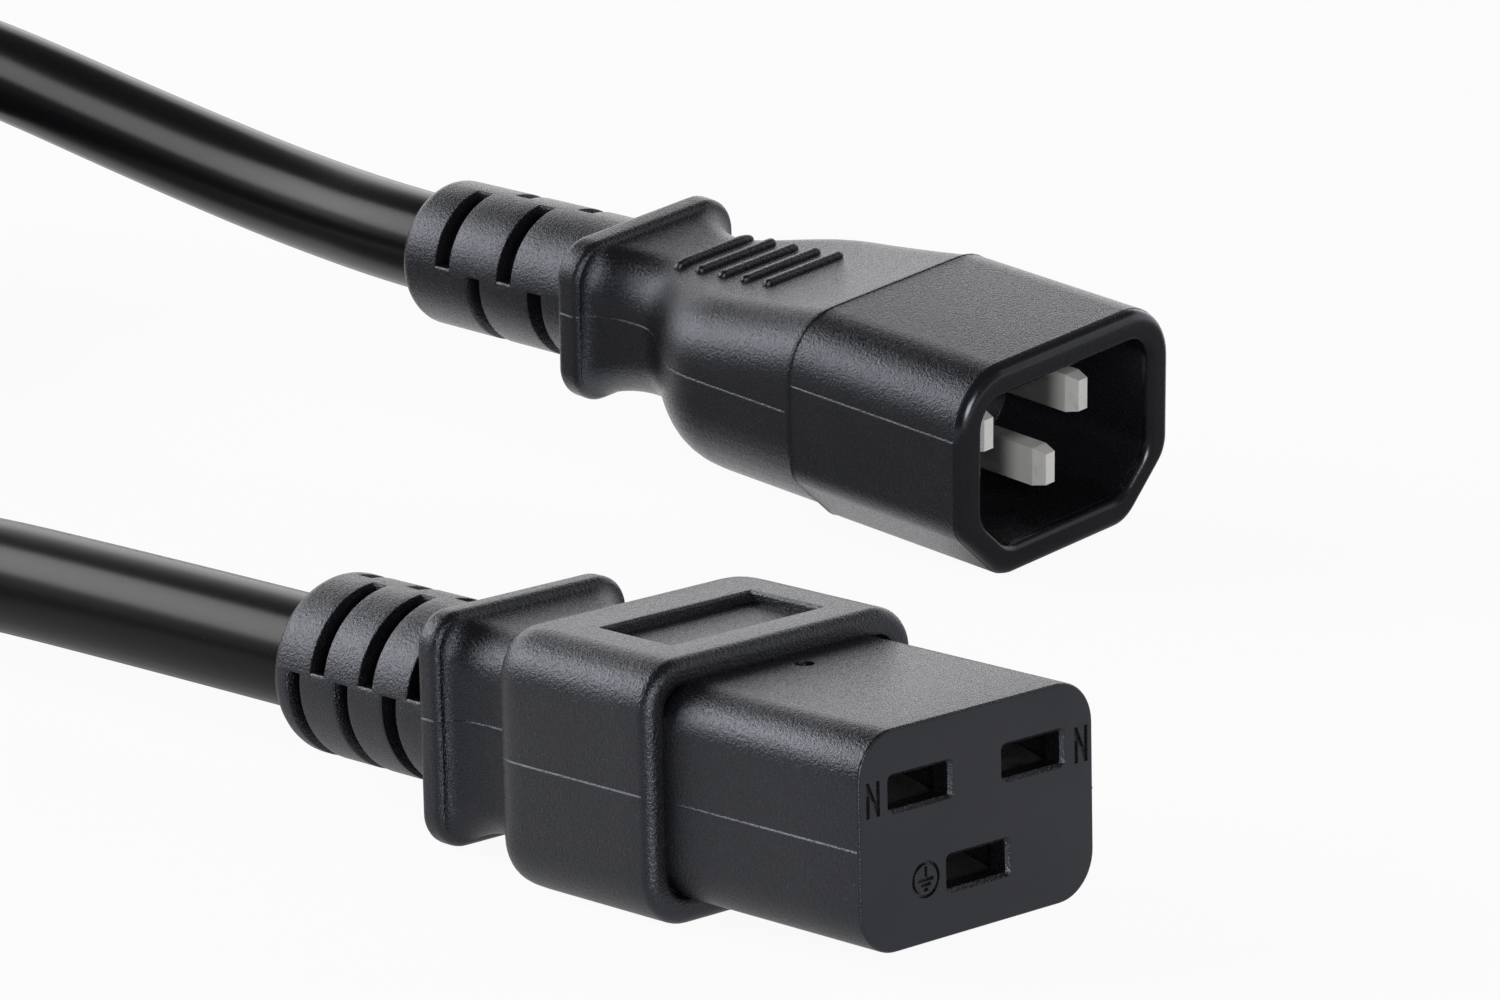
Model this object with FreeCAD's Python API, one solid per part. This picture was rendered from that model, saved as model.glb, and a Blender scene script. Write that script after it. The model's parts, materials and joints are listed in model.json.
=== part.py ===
"""Data-centre power lead: a female power connector (C19), its cord, and the plug (C14) on the far end.

Part frame, in millimetres: +Z up, z = 0 is the surface that everything lies on, +X is the way the female
connector's mating face points, and the origin is under the middle of that connector.
Each connector is built in a frame of its own, with its origin at the centre of its mating face and +X
out of the mouth, and is then placed.
"""

import FreeCAD, Part
import math
import os

V = FreeCAD.Vector
X_AXIS = V(1, 0, 0)
Y_AXIS = V(0, 1, 0)
Z_AXIS = V(0, 0, 1)

# ---- Female connector: outside -------------------------------------------------------------------
nose_width = 27.0
nose_height = 18.85
nose_length = 23.1
nose_top_radius = 3.0
nose_bottom_radius = 2.6
nose_edge_chamfer = 0.35

body_width = 31.0
body_height = 22.96
body_straight = 13.9           # the body's full section, before it rounds in to the neck
body_shoulder = 9.4
body_shoulder_lean = 2.4        # how late the shoulder turns in: 1 is an even S
body_top_radius = 3.4
body_bottom_radius = 4.1
body_edge_round = 1.1

neck_length = 4.1
neck_width = 18.2
neck_top = 8.2                 # heights are from the centre of the mating face
neck_bottom = -10.2
neck_radius = 4.0

collar_flare = 4.0             # length over which the neck sweeps out to the collar
collar_inset = 0.5             # from the collar's rim in to the end of that sweep
collar_thickness = 2.8
collar_width = 22.5
collar_height = 21.1
collar_radius = 3.2
collar_edge_round = 0.9

relief_length = 23.8
relief_base_radius = 8.3
relief_tail_radius = 8.25
relief_tail_round = 1.6
relief_drop = 0.95             # how far the cord's axis lies below the centre of the mating face
relief_slot_width = 1.7
relief_slot_pitch = 6.55
relief_slot_rows = 3
relief_first_slot = 4.0        # from the collar's back face to the middle of the leading slot
relief_spine = 1.2             # plastic left between the slots of the two sides
relief_web = 0.4               # and between the slots above and below the parting plane
relief_parting = 1.25          # height of that plane above the sleeve's axis, on both connectors
relief_core_wall = 0.8         # plastic left between the slots and the cord

recess_length = 8.7            # the bare recess in the body's top
recess_width = 17.1
recess_depth = 1.0
recess_from_front = 4.2

# ---- Female connector: inside --------------------------------------------------------------------
contact_pitch = 13.0           # between the two live contacts
live_height = 3.93
earth_height = -4.07
slot_width = 6.8
slot_height = 2.75
slot_depth = 2.0
chamber_width = 8.2
chamber_height = 4.2
tang_length = 6.0              # the carrier's rear end, held in the overmoulding

sheet_thickness = 0.45         # of the folded contacts
contact_side_play = 0.3        # on each side, in the chamber
contact_length = 14.0          # leaves and box, in front of the crimping strip
contact_leaf_length = 9.0
contact_leaf_gap = 1.7         # where the leaves pinch the blade
contact_pinch_share = 0.4      # of the leaves' length, in front of the pinch
contact_strip_width = 1.8
crimp_gap = 0.8
conductor_crimp_length = 4.0
insulation_crimp_length = 3.0

# ---- Plug ------------------------------------------------------------------------------------------
shroud_width = 31.2
shroud_height = 22.8
shroud_length = 23.2
shroud_top_radius = 6.2
shroud_chamfer_across = 6.4
shroud_chamfer_up = 6.4
shroud_corner_round = 3.6
shroud_wall = 3.2
shroud_rim_chamfer = 0.6
cavity_depth = 19.4
cavity_least_radius = 0.8

pin_pitch = 14.0
pin_height = 4.0
pin_thickness = 2.0
live_pin_height = 2.26
earth_pin_height = -3.0
live_pin_setback = 4.2         # from the mouth to the tip
earth_pin_setback = 2.3
pin_tip_length = 1.5           # of the tapered tip
pin_tip_inset = 0.35           # from the blade's sides in to the tip's face
pin_shoulder = 1.0             # blade behind the cavity's floor, before the barrel
pin_barrel_radius = 1.75
pin_barrel_bore_depth = 3.6

plug_tang_length = 6.0
plug_tang_width = 20.0
plug_tang_height = 13.0
plug_tang_radius = 2.0
plug_body_width = 31.0
plug_body_top = 11.3
plug_body_bottom = -11.2
plug_body_top_radius = 6.2
plug_body_bottom_radius = 10.4
plug_body_straight = 13.0
plug_body_taper = 14.5
plug_body_lean = 1.3           # as the female connector's shoulder
plug_top_ease = 1.5            # how soon the body's top falls: 1 is a straight slope
plug_neck_width = 17.4
plug_neck_top = 7.9
plug_neck_bottom = -7.6
plug_neck_radius = 5.5
plug_collar_flare = 6.2
plug_collar_inset = 0.5
plug_collar_thickness = 3.2
plug_collar_width = 23.4
plug_collar_height = 17.5
plug_collar_rise = 0.29        # of the collar's middle
plug_collar_radius = 4.0
plug_collar_edge_round = 0.9
plug_rib_count = 5
plug_rib_pitch = 3.15
plug_rib_length = 11.5
plug_rib_width = 1.15
plug_rib_rise = 0.6
plug_rib_corner = 0.52
plug_first_rib = 12.8          # from the shroud to the middle of the first rib

plug_relief_length = 27.8
plug_relief_base_radius = 7.9
plug_relief_tail_radius = 7.75
plug_relief_tail_round = 1.6
plug_relief_sag = 4.32         # degrees that the sleeve sags below the plug's axis
plug_relief_slot_width = 1.95
plug_relief_slot_pitch = 9.3
plug_relief_slot_rows = 2
plug_relief_first_slot = 7.1

# How the plug lies: turned about its own axis, then nose down, then round to its heading, in degrees.
plug_lean = 6.7
plug_nose_down = 7.2
plug_heading = 3.27
plug_face_x = -46.7
plug_face_y = 99.5

# ---- Cord ------------------------------------------------------------------------------------------
cord_diameter = 10.6
jacket_grip = 19.0             # jacket held inside each strain relief
female_lead_out = 21.5         # the cord's straight stretch beyond the female connector's relief
plug_lead_out = 2.5
core_diameter = 3.3
conductor_diameter = 1.85
core_circle_radius = 2.0       # of the three cores about the cord's axis
core_lead_out = 5.0            # straight stretch out of the jacket
core_lead_in = 4.0             # and behind the terminal's carrier
cord_bend_share = 0.45

coil_x = -266.0
coil_y = 41.5
coil_radius = 52.5             # at the middle of the turns
coil_turns = 2.5
coil_turn_pitch = 10.7
coil_play = 0.3                # round the turns, inside the coil's outer shape
coil_corner = 2.8              # cut off each corner of the bundle's section
coil_stub_length = 34.0        # the straight start and end of the winding
tie_thickness = 0.8
tie_width = 12.0

# ---- Modelling: how far a cut runs past the face that it opens, and how finely sweeps are stepped --
overshoot = 1.0
edge_facets = 3
tail_facets = 4
shoulder_facets = 9
flare_facets = 5
plug_body_facets = 13

# ---- Worked out ------------------------------------------------------------------------------------
cord_radius = cord_diameter / 2
core_radius = core_diameter / 2
conductor_radius = conductor_diameter / 2
body_top = body_height / 2
body_bottom = -body_height / 2
shoulder_x = -(nose_length + body_straight)
neck_x = shoulder_x - body_shoulder
flare_x = neck_x - neck_length
collar_x = flare_x - collar_flare
collar_back_x = collar_x - collar_thickness
tail_x = collar_back_x - relief_length
contact_rear_x = -(slot_depth + contact_length)
tang_rear_x = -(nose_length + tang_length)
plug_tang_rear_x = -(shroud_length + plug_tang_length)
plug_flare_x = -(shroud_length + plug_body_straight + plug_body_taper)
plug_collar_x = plug_flare_x - plug_collar_flare
plug_collar_back_x = plug_collar_x - plug_collar_thickness
conductor_crimp_x = contact_rear_x - crimp_gap
insulation_crimp_x = conductor_crimp_x - conductor_crimp_length - crimp_gap
blade_places = {
    "neutral": (-contact_pitch / 2, live_height),
    "line": (contact_pitch / 2, live_height),
    "earth": (0.0, earth_height),
}
pin_places = {
    "neutral": (-pin_pitch / 2, live_pin_height),
    "line": (pin_pitch / 2, live_pin_height),
    "earth": (0.0, earth_pin_height),
}
core_angles = {"neutral": 150, "line": 30, "earth": 270}


# ---- Shared shapes -----------------------------------------------------------------------------------
def rounded_outline(corners):
    """A closed outline through (point, radius) corners, each rounded by a tangent arc."""
    arcs = []
    for i, (corner, radius) in enumerate(corners):
        back = (corners[i - 1][0] - corner).normalize()
        ahead = (corners[(i + 1) % len(corners)][0] - corner).normalize()
        half_angle = back.getAngle(ahead) / 2
        reach = radius / math.tan(half_angle)
        rise = radius / math.sin(half_angle) - radius
        middle = corner + (back + ahead).normalize() * rise
        arcs.append((corner + back * reach, middle, corner + ahead * reach))
    edges = []
    for i, (start, middle, end) in enumerate(arcs):
        edges.append(Part.Arc(start, middle, end).toShape())
        edges.append(Part.LineSegment(end, arcs[(i + 1) % len(arcs)][0]).toShape())
    return Part.Wire(edges)


def section(x, size):
    """A rounded rectangle square to X, from (width, top, bottom, top radius, bottom radius)."""
    width, top, bottom, top_radius, bottom_radius = size
    return rounded_outline([
        (V(x, width / 2, top), top_radius),
        (V(x, -width / 2, top), top_radius),
        (V(x, -width / 2, bottom), bottom_radius),
        (V(x, width / 2, bottom), bottom_radius),
    ])


def block(x_front, length, size):
    """A prism of one section, running back from x_front."""
    return Part.Face(section(x_front, size)).extrude(V(-length, 0, 0))


def between(size_a, size_b, share):
    return tuple(a + (b - a) * share for a, b in zip(size_a, size_b))


def inset(size, amount):
    """The same section, smaller all round."""
    width, top, bottom, top_radius, bottom_radius = size
    return (width - 2 * amount, top - amount, bottom + amount, top_radius - amount, bottom_radius - amount)


def quarter_round(x_start, start_size, x_end, end_size, steps):
    """A quarter-round sweep: along X where it starts, and square to X where it ends."""
    sections = []
    for k in range(steps + 1):
        angle = math.pi / 2 * k / steps
        x = x_start + (x_end - x_start) * math.sin(angle)
        sections.append(section(x, between(start_size, end_size, 1 - math.cos(angle))))
    return Part.makeLoft(sections, True, True)


def rounded_plate(x_front, thickness, size, edge):
    """A plate square to X, with both of its rims rounded."""
    front = quarter_round(x_front - edge, size, x_front, inset(size, edge), edge_facets)
    back_x = x_front - thickness
    back = quarter_round(back_x + edge, size, back_x, inset(size, edge), edge_facets)
    return block(x_front - edge, thickness - 2 * edge, size).fuse([front, back])


def waist(x_start, start_size, x_end, end_size, steps, lean):
    """An S-shaped taper, along X at both ends, that turns in the later the more it leans."""
    sections = []
    for k in range(steps + 1):
        share = (1 - math.cos(math.pi * (k / steps) ** lean)) / 2
        x = x_start + (x_end - x_start) * k / steps
        sections.append(section(x, between(start_size, end_size, share)))
    return Part.makeLoft(sections, True, True)


def box(x_front, length, y_middle, width, bottom, height):
    return Part.makeBox(length, width, height, V(x_front - length, y_middle - width / 2, bottom))


def rod(x_rear, x_front, y, z, radius):
    return Part.makeCylinder(radius, x_front - x_rear, V(x_rear, y, z), X_AXIS)


def edges_at(shape, x):
    """The edges of a shape that lie in the plane at x."""
    flat = 0.01
    return [e for e in shape.Edges if abs(e.BoundBox.XMin - x) < flat and abs(e.BoundBox.XMax - x) < flat]


def route_path(points, bend_share):
    """Straight runs through the points, joined by tangent arcs, and the arcs' radii."""
    edges = []
    radii = []
    last = points[0]
    for before, corner, after in zip(points, points[1:], points[2:]):
        back = before - corner
        ahead = after - corner
        reach = bend_share * min(back.Length, ahead.Length)
        back.normalize()
        ahead.normalize()
        half_angle = back.getAngle(ahead) / 2
        radius = reach * math.tan(half_angle)
        rise = radius / math.sin(half_angle) - radius
        start = corner + back * reach
        end = corner + ahead * reach
        edges.append(Part.LineSegment(last, start).toShape())
        edges.append(Part.Arc(start, corner + (back + ahead).normalize() * rise, end).toShape())
        radii.append(radius)
        last = end
    edges.append(Part.LineSegment(last, points[-1]).toShape())
    return Part.Wire(edges), radii


def swept(path, points, radius):
    """A round bar along a route."""
    ring = Part.Wire([Part.makeCircle(radius, points[0], points[1] - points[0])])
    return path.makePipeShell([ring], True, True)


def mitred(points, radius):
    """A round bar along straight runs, mitred where they meet."""
    ring = Part.Wire([Part.makeCircle(radius, points[0], points[1] - points[0])])
    mitre = 1
    return Part.makePolygon(points).makePipeShell([ring], True, True, mitre)


def strain_relief(length, base_radius, tail_radius, tail_round):
    """The outside of a strain relief, running back along -X from the origin, with a rounded tail."""
    profile = [V(0, 0, 0), V(0, 0, base_radius)]
    for k in range(tail_facets + 1):
        angle = math.pi / 2 * k / tail_facets
        profile.append(V(-length + tail_round * (1 - math.sin(angle)), 0,
                         tail_radius - tail_round * (1 - math.cos(angle))))
    profile += [V(-length, 0, 0), V(0, 0, 0)]
    return Part.Face(Part.makePolygon(profile)).revolve(V(0, 0, 0), X_AXIS, 360)


def quarter_slots(first, pitch, rows, width, outer_radius, leading):
    """Grip slots down to the sleeve's core, in four quarters of the ring that meet on the parting plane.
    Neighbouring quarters are staggered by half a pitch. The slots above the plane on the near side lead
    where leading is 1, and those on the far side where it is -1."""
    inner_radius = cord_radius + relief_core_wall
    reach = outer_radius + overshoot
    slots = []
    for side, level in ((-1, 1), (1, 1), (1, -1), (-1, -1)):
        shift = 0 if side * level * leading < 0 else pitch / 2
        y_least = relief_spine / 2 if side > 0 else -relief_spine / 2 - reach
        if level > 0:
            z_least = relief_parting + relief_web / 2
        else:
            z_least = relief_parting - relief_web / 2 - 2 * reach
        for row in range(rows):
            rear = -(first + shift + row * pitch) - width / 2
            ring = rod(rear, rear + width, 0, 0, reach).cut(rod(rear, rear + width, 0, 0, inner_radius))
            slots.append(ring.common(Part.makeBox(width, reach, 2 * reach, V(rear, y_least, z_least))))
    return slots


def core_route(jacket_end, outward, angle, target, straight_x, stop_x):
    """A core's points: out of the jacket, across to its terminal, and straight into it."""
    up = Y_AXIS.cross(outward)
    turn = math.radians(angle)
    start = jacket_end + Y_AXIS * (core_circle_radius * math.cos(turn))
    start = start + up * (core_circle_radius * math.sin(turn))
    return [
        start,
        start - outward * core_lead_out,
        V(straight_x, target[0], target[1]),
        V(stop_x, target[0], target[1]),
    ]


def core_and_conductor(points, strip_x):
    """A core's insulation, stripped in front of strip_x, and the copper in it."""
    conductor = mitred(points, conductor_radius)
    end = points[-1]
    stripped = rod(strip_x, end.x + overshoot, end.y, end.z, core_diameter)
    insulation = mitred(points, core_radius).cut(stripped).cut(conductor)
    return insulation, conductor


# ---- Female connector --------------------------------------------------------------------------------
def female_block():
    """The nose's section, from the mating face back to the end that the overmoulding holds."""
    size = (nose_width, nose_height / 2, -nose_height / 2, nose_top_radius, nose_bottom_radius)
    return block(0, nose_length + tang_length, size)


def female_carrier():
    """The rigid nose: three blade slots, and behind each a chamber that is open at the back, where its
    contact goes in."""
    solid = female_block()
    solid = solid.makeChamfer(nose_edge_chamfer, edges_at(solid, 0))
    cuts = []
    for y, z in blade_places.values():
        cuts.append(box(overshoot, slot_depth + overshoot, y, slot_width, z - slot_height / 2,
                        slot_height))
        cuts.append(box(-slot_depth, overshoot - slot_depth - tang_rear_x, y, chamber_width,
                        z - chamber_height / 2, chamber_height))
    return solid.cut(cuts)


def contact_leaf(sign, width):
    """A spring leaf: flared at the mouth, pinched in the middle, joined to the box behind."""
    seat = chamber_height / 2 - sheet_thickness
    rear = -(slot_depth + contact_leaf_length) - sheet_thickness
    line = [
        V(-slot_depth, -width / 2, sign * seat),
        V(-slot_depth - contact_pinch_share * contact_leaf_length, -width / 2, sign * contact_leaf_gap / 2),
        V(rear, -width / 2, sign * seat),
    ]
    outer = [p + V(0, 0, sign * sheet_thickness) for p in reversed(line)]
    return Part.Face(Part.makePolygon(line + outer + line[:1])).extrude(V(0, width, 0))


def female_contact(y, z):
    """A folded contact: a box with two spring leaves before it, and a strip with two crimps behind."""
    width = chamber_width - 2 * contact_side_play
    floor = -chamber_height / 2
    box_front = -(slot_depth + contact_leaf_length)
    box_length = contact_length - contact_leaf_length
    sleeve = box(box_front, box_length, 0, width, floor, chamber_height)
    hollow = box(box_front + overshoot, box_length + 2 * overshoot, 0, width - 2 * sheet_thickness,
                 floor + sheet_thickness, chamber_height - 2 * sheet_thickness)
    strip_front = contact_rear_x + sheet_thickness * 2
    strip_rear = insulation_crimp_x - insulation_crimp_length
    strip = box(strip_front, strip_front - strip_rear, 0, contact_strip_width, floor, sheet_thickness)
    leaves = [contact_leaf(sign, width) for sign in (-1, 1)]
    solid = sleeve.cut(hollow).fuse(leaves + [strip])
    for x, length, bore in ((conductor_crimp_x, conductor_crimp_length, conductor_radius),
                            (insulation_crimp_x, insulation_crimp_length, core_radius)):
        barrel = rod(x - length, x, 0, 0, bore + sheet_thickness)
        leg = box(x, length, 0, sheet_thickness * 2, floor, -floor)
        solid = solid.fuse([barrel, leg]).cut(rod(x - length - crimp_gap / 2, x + crimp_gap / 2, 0, 0, bore))
    solid = solid.removeSplitter()
    solid.translate(V(0, y, z))
    return solid


def female_outside():
    """The soft overmoulding: body, neck, finger collar and slotted strain relief."""
    body = (body_width, body_top, body_bottom, body_top_radius, body_bottom_radius)
    neck = (neck_width, neck_top, neck_bottom, neck_radius, neck_radius)
    collar_top = body_bottom + collar_height
    collar = (collar_width, collar_top, body_bottom, collar_radius, collar_radius)
    edge = quarter_round(-nose_length - body_edge_round, body, -nose_length,
                         inset(body, body_edge_round), edge_facets)
    front = block(-nose_length - body_edge_round, body_straight - body_edge_round, body)
    shoulder = waist(shoulder_x, body, neck_x, neck, shoulder_facets, body_shoulder_lean)
    bar = block(neck_x + body_shoulder / 2, neck_length + body_shoulder / 2, neck)
    flare = quarter_round(flare_x, neck, collar_x, inset(collar, collar_inset), flare_facets)
    rim = rounded_plate(collar_x, collar_thickness, collar, collar_edge_round)
    sleeve = strain_relief(relief_length, relief_base_radius, relief_tail_radius, relief_tail_round)
    sleeve = sleeve.cut(quarter_slots(relief_first_slot, relief_slot_pitch, relief_slot_rows,
                                      relief_slot_width, relief_base_radius, 1))
    sleeve.translate(V(collar_back_x, 0, -relief_drop))
    solid = front.fuse([edge, shoulder, bar, flare, rim, sleeve])
    recess = box(-nose_length - recess_from_front, recess_length, 0, recess_width,
                 body_top - recess_depth, recess_depth + overshoot)
    return solid.cut(recess)


def female_connector():
    """Every solid of the female connector, in its own frame, and where its jacket ends."""
    solids = {"c19_contact_carrier": female_carrier()}
    jacket_end = V(tail_x + jacket_grip, 0, -relief_drop)
    held = [female_block()]
    for name, (y, z) in blade_places.items():
        solids["c19_contact_" + name] = female_contact(y, z)
        points = core_route(jacket_end, V(-1, 0, 0), core_angles[name], (y, z),
                            tang_rear_x - core_lead_in, conductor_crimp_x + crimp_gap / 2)
        core, conductor = core_and_conductor(points, insulation_crimp_x)
        solids["c19_core_" + name] = core
        solids["c19_conductor_" + name] = conductor
        held += [core, conductor]
    solids["c19_overmould"] = female_outside().cut(held)
    return solids, jacket_end


# ---- Plug ----------------------------------------------------------------------------------------------
def shroud_outline(x, inset):
    """The shroud's outline, or the cavity's when inset: square above, with its lower corners cut off."""
    half_width = shroud_width / 2 - inset
    half_height = shroud_height / 2 - inset
    slope = math.atan2(shroud_chamfer_up, shroud_chamfer_across)
    across = shroud_chamfer_across - inset * math.tan((math.pi / 2 - slope) / 2)
    across = across - inset * math.tan(slope / 2) * shroud_chamfer_across / shroud_chamfer_up
    up = across * shroud_chamfer_up / shroud_chamfer_across
    round_top = max(shroud_top_radius - inset, cavity_least_radius)
    return rounded_outline([
        (V(x, half_width, half_height), round_top),
        (V(x, -half_width, half_height), round_top),
        (V(x, -half_width, up - half_height), shroud_corner_round),
        (V(x, across - half_width, -half_height), shroud_corner_round),
        (V(x, half_width - across, -half_height), shroud_corner_round),
        (V(x, half_width, up - half_height), shroud_corner_round),
    ])


def plug_tang():
    size = (plug_tang_width, plug_tang_height / 2, -plug_tang_height / 2, plug_tang_radius,
            plug_tang_radius)
    return block(-shroud_length, plug_tang_length, size)


def rectangle(x, y, z, width, height):
    """A rectangle square to X, about (y, z)."""
    corners = [V(x, y + a * width / 2, z + b * height / 2) for a, b in ((1, 1), (-1, 1), (-1, -1), (1, -1))]
    return Part.makePolygon(corners + corners[:1])


def plug_pin(y, z, setback):
    """A blade pin with a tapered tip and a crimp barrel behind."""
    rear = -shroud_length - pin_shoulder
    tip_rear = -setback - pin_tip_length
    blade = box(tip_rear, tip_rear - rear, y, pin_thickness, z - pin_height / 2, pin_height)
    tip = Part.makeLoft([
        rectangle(tip_rear, y, z, pin_thickness, pin_height),
        rectangle(-setback, y, z, pin_thickness - 2 * pin_tip_inset, pin_height - 2 * pin_tip_inset),
    ], True, True)
    barrel = rod(plug_tang_rear_x, rear, y, z, pin_barrel_radius)
    return blade.fuse([tip, barrel])


def plug_outside():
    """The soft overmoulding: tapered body with grip ribs, finger collar and slotted strain relief."""
    body = (plug_body_width, plug_body_top, plug_body_bottom, plug_body_top_radius,
            plug_body_bottom_radius)
    neck = (plug_neck_width, plug_neck_top, plug_neck_bottom, plug_neck_radius, plug_neck_radius)
    collar_top = plug_collar_rise + plug_collar_height / 2
    collar_bottom = plug_collar_rise - plug_collar_height / 2
    collar = (plug_collar_width, collar_top, collar_bottom, plug_collar_radius, plug_collar_radius)
    flare = quarter_round(plug_flare_x, neck, plug_collar_x, inset(collar, plug_collar_inset),
                          flare_facets)
    rim = rounded_plate(plug_collar_x, plug_collar_thickness, collar, plug_collar_edge_round)
    return plug_body(body, neck, 0).fuse([flare, rim, plug_sleeve()] + plug_ribs(body, neck))


def plug_body(body, neck, rise):
    """The body from the shroud to the neck, its top raised by rise. The sides and bottom run straight
    before they turn in, and the top falls all the way."""
    length = plug_body_straight + plug_body_taper
    sections = []
    for k in range(plug_body_facets + 1):
        distance = length * k / plug_body_facets
        past = max(distance - plug_body_straight, 0) / plug_body_taper
        size = between(body, neck, (1 - math.cos(math.pi * past ** plug_body_lean)) / 2)
        fall = 1 - (1 - k / plug_body_facets) ** plug_top_ease
        top = body[1] + (neck[1] - body[1]) * fall + rise
        sections.append(section(-shroud_length - distance, (size[0], top) + size[2:]))
    return Part.makeLoft(sections, True, True)


def plug_ribs(body, neck):
    """Grip ribs that stand off the body's top by the same rise all along its fall."""
    raised = plug_body(body, neck, plug_rib_rise)
    ribs = []
    for k in range(plug_rib_count):
        x = -shroud_length - plug_first_rib - k * plug_rib_pitch
        outline = rounded_outline([
            (V(x + plug_rib_width / 2, plug_rib_length / 2, 0), plug_rib_corner),
            (V(x - plug_rib_width / 2, plug_rib_length / 2, 0), plug_rib_corner),
            (V(x - plug_rib_width / 2, -plug_rib_length / 2, 0), plug_rib_corner),
            (V(x + plug_rib_width / 2, -plug_rib_length / 2, 0), plug_rib_corner),
        ])
        bar = Part.Face(outline).extrude(V(0, 0, plug_body_top * 2))
        bar.translate(V(0, 0, plug_body_top / 2))
        ribs.append(bar.common(raised))
    return ribs


def sagging(shape):
    """Turn a piece of the plug's sleeve down with the sag, about the middle of the collar's back."""
    shape.rotate(V(0, 0, 0), Y_AXIS, -plug_relief_sag)
    shape.translate(V(plug_collar_back_x, 0, 0))
    return shape


def plug_sleeve():
    buried = plug_collar_thickness / 2
    sleeve = strain_relief(plug_relief_length, plug_relief_base_radius, plug_relief_tail_radius,
                           plug_relief_tail_round)
    sleeve = sleeve.cut(quarter_slots(plug_relief_first_slot, plug_relief_slot_pitch,
                                      plug_relief_slot_rows, plug_relief_slot_width,
                                      plug_relief_base_radius, -1))
    root = rod(0, buried, 0, 0, plug_relief_base_radius)
    return sagging(sleeve.fuse(root))


def plug():
    """Every solid of the plug, in its own frame, where its jacket ends and which way the cord leaves."""
    pins = {}
    for name, (y, z) in pin_places.items():
        setback = earth_pin_setback if name == "earth" else live_pin_setback
        pins[name] = plug_pin(y, z, setback)
    outline = Part.Face(shroud_outline(0, 0))
    shroud = outline.extrude(V(-shroud_length, 0, 0))
    cavity = Part.Face(shroud_outline(overshoot, shroud_wall)).extrude(V(-cavity_depth - overshoot, 0, 0))
    shroud = shroud.cut(cavity)
    shroud = shroud.makeChamfer(shroud_rim_chamfer, edges_at(shroud, 0))
    tang = plug_tang()
    solids = {"c14_shroud": shroud.fuse(tang).cut(list(pins.values()))}
    angle = math.radians(plug_relief_sag)
    outward = V(-math.cos(angle), 0, -math.sin(angle))
    jacket_end = V(plug_collar_back_x, 0, 0) + outward * (plug_relief_length - jacket_grip)
    held = [tang]
    bore_end_x = plug_tang_rear_x + pin_barrel_bore_depth
    for name, target in pin_places.items():
        points = core_route(jacket_end, outward, core_angles[name], target,
                            plug_tang_rear_x - core_lead_in, bore_end_x)
        core, conductor = core_and_conductor(points, plug_tang_rear_x)
        solids["c14_pin_" + name] = pins[name].cut(conductor)
        solids["c14_core_" + name] = core
        solids["c14_conductor_" + name] = conductor
        held += [core, conductor]
    solids["c14_overmould"] = plug_outside().cut(held)
    return solids, jacket_end, outward


# ---- Placing and cord ------------------------------------------------------------------------------
def female_placement():
    return FreeCAD.Placement(V(-tail_x / 2, 0, body_height / 2), FreeCAD.Rotation())


def plug_placement(shroud):
    """The plug lies on the lowest corner of its shroud, held up at the back by the cord."""
    turn = FreeCAD.Rotation(Z_AXIS, plug_heading)
    turn = turn.multiply(FreeCAD.Rotation(Y_AXIS, plug_nose_down))
    turn = turn.multiply(FreeCAD.Rotation(X_AXIS, plug_lean))
    lying = shroud.copy()
    lying.Placement = FreeCAD.Placement(V(plug_face_x, plug_face_y, 0), turn)
    lowest = lying.optimalBoundingBox(True, False).ZMin
    return FreeCAD.Placement(V(plug_face_x, plug_face_y, -lowest), turn)


def coil_heights():
    """The middle of the first turn where it starts, and of the last where it ends."""
    start = tie_thickness + cord_radius + coil_play / 2
    return start, start + coil_turns * coil_turn_pitch


def coil_profile(grow):
    """The section of the wound bundle, square to Y on the coil's far side, grown all round."""
    start, end = coil_heights()
    half = cord_radius + coil_play + grow
    bottom = start - cord_radius - coil_play / 2 - grow
    top = end + cord_radius + coil_play + grow
    middle = coil_x - coil_radius
    cut = coil_corner + grow * (2 - math.sqrt(2))
    outline = [
        V(middle - half + cut, coil_y, bottom),
        V(middle + half - cut, coil_y, bottom),
        V(middle + half, coil_y, bottom + cut),
        V(middle + half, coil_y, top - cut),
        V(middle + half - cut, coil_y, top),
        V(middle - half + cut, coil_y, top),
        V(middle - half, coil_y, top - cut),
        V(middle - half, coil_y, bottom + cut),
    ]
    return Part.Face(Part.makePolygon(outline + outline[:1]))


def cord_coil():
    """The put-away turns as one ring, with the straight start and end of the winding."""
    centre = V(coil_x, coil_y, 0)
    ring = coil_profile(0).revolve(centre, Z_AXIS, 360)
    start, end = coil_heights()
    stubs = []
    for y, z in ((coil_y - coil_radius, start), (coil_y + coil_radius, end)):
        stubs.append(rod(coil_x, coil_x + coil_stub_length, y, z, cord_radius))
    return ring.fuse(stubs)


def cord_tie():
    """A strap round the bundle, on the side away from the connectors."""
    centre = V(coil_x, coil_y, 0)
    spread = math.degrees(tie_width / coil_radius)
    band = coil_profile(tie_thickness).cut(coil_profile(0))
    band.rotate(centre, Z_AXIS, -spread / 2)
    return band.revolve(centre, Z_AXIS, spread)


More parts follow.
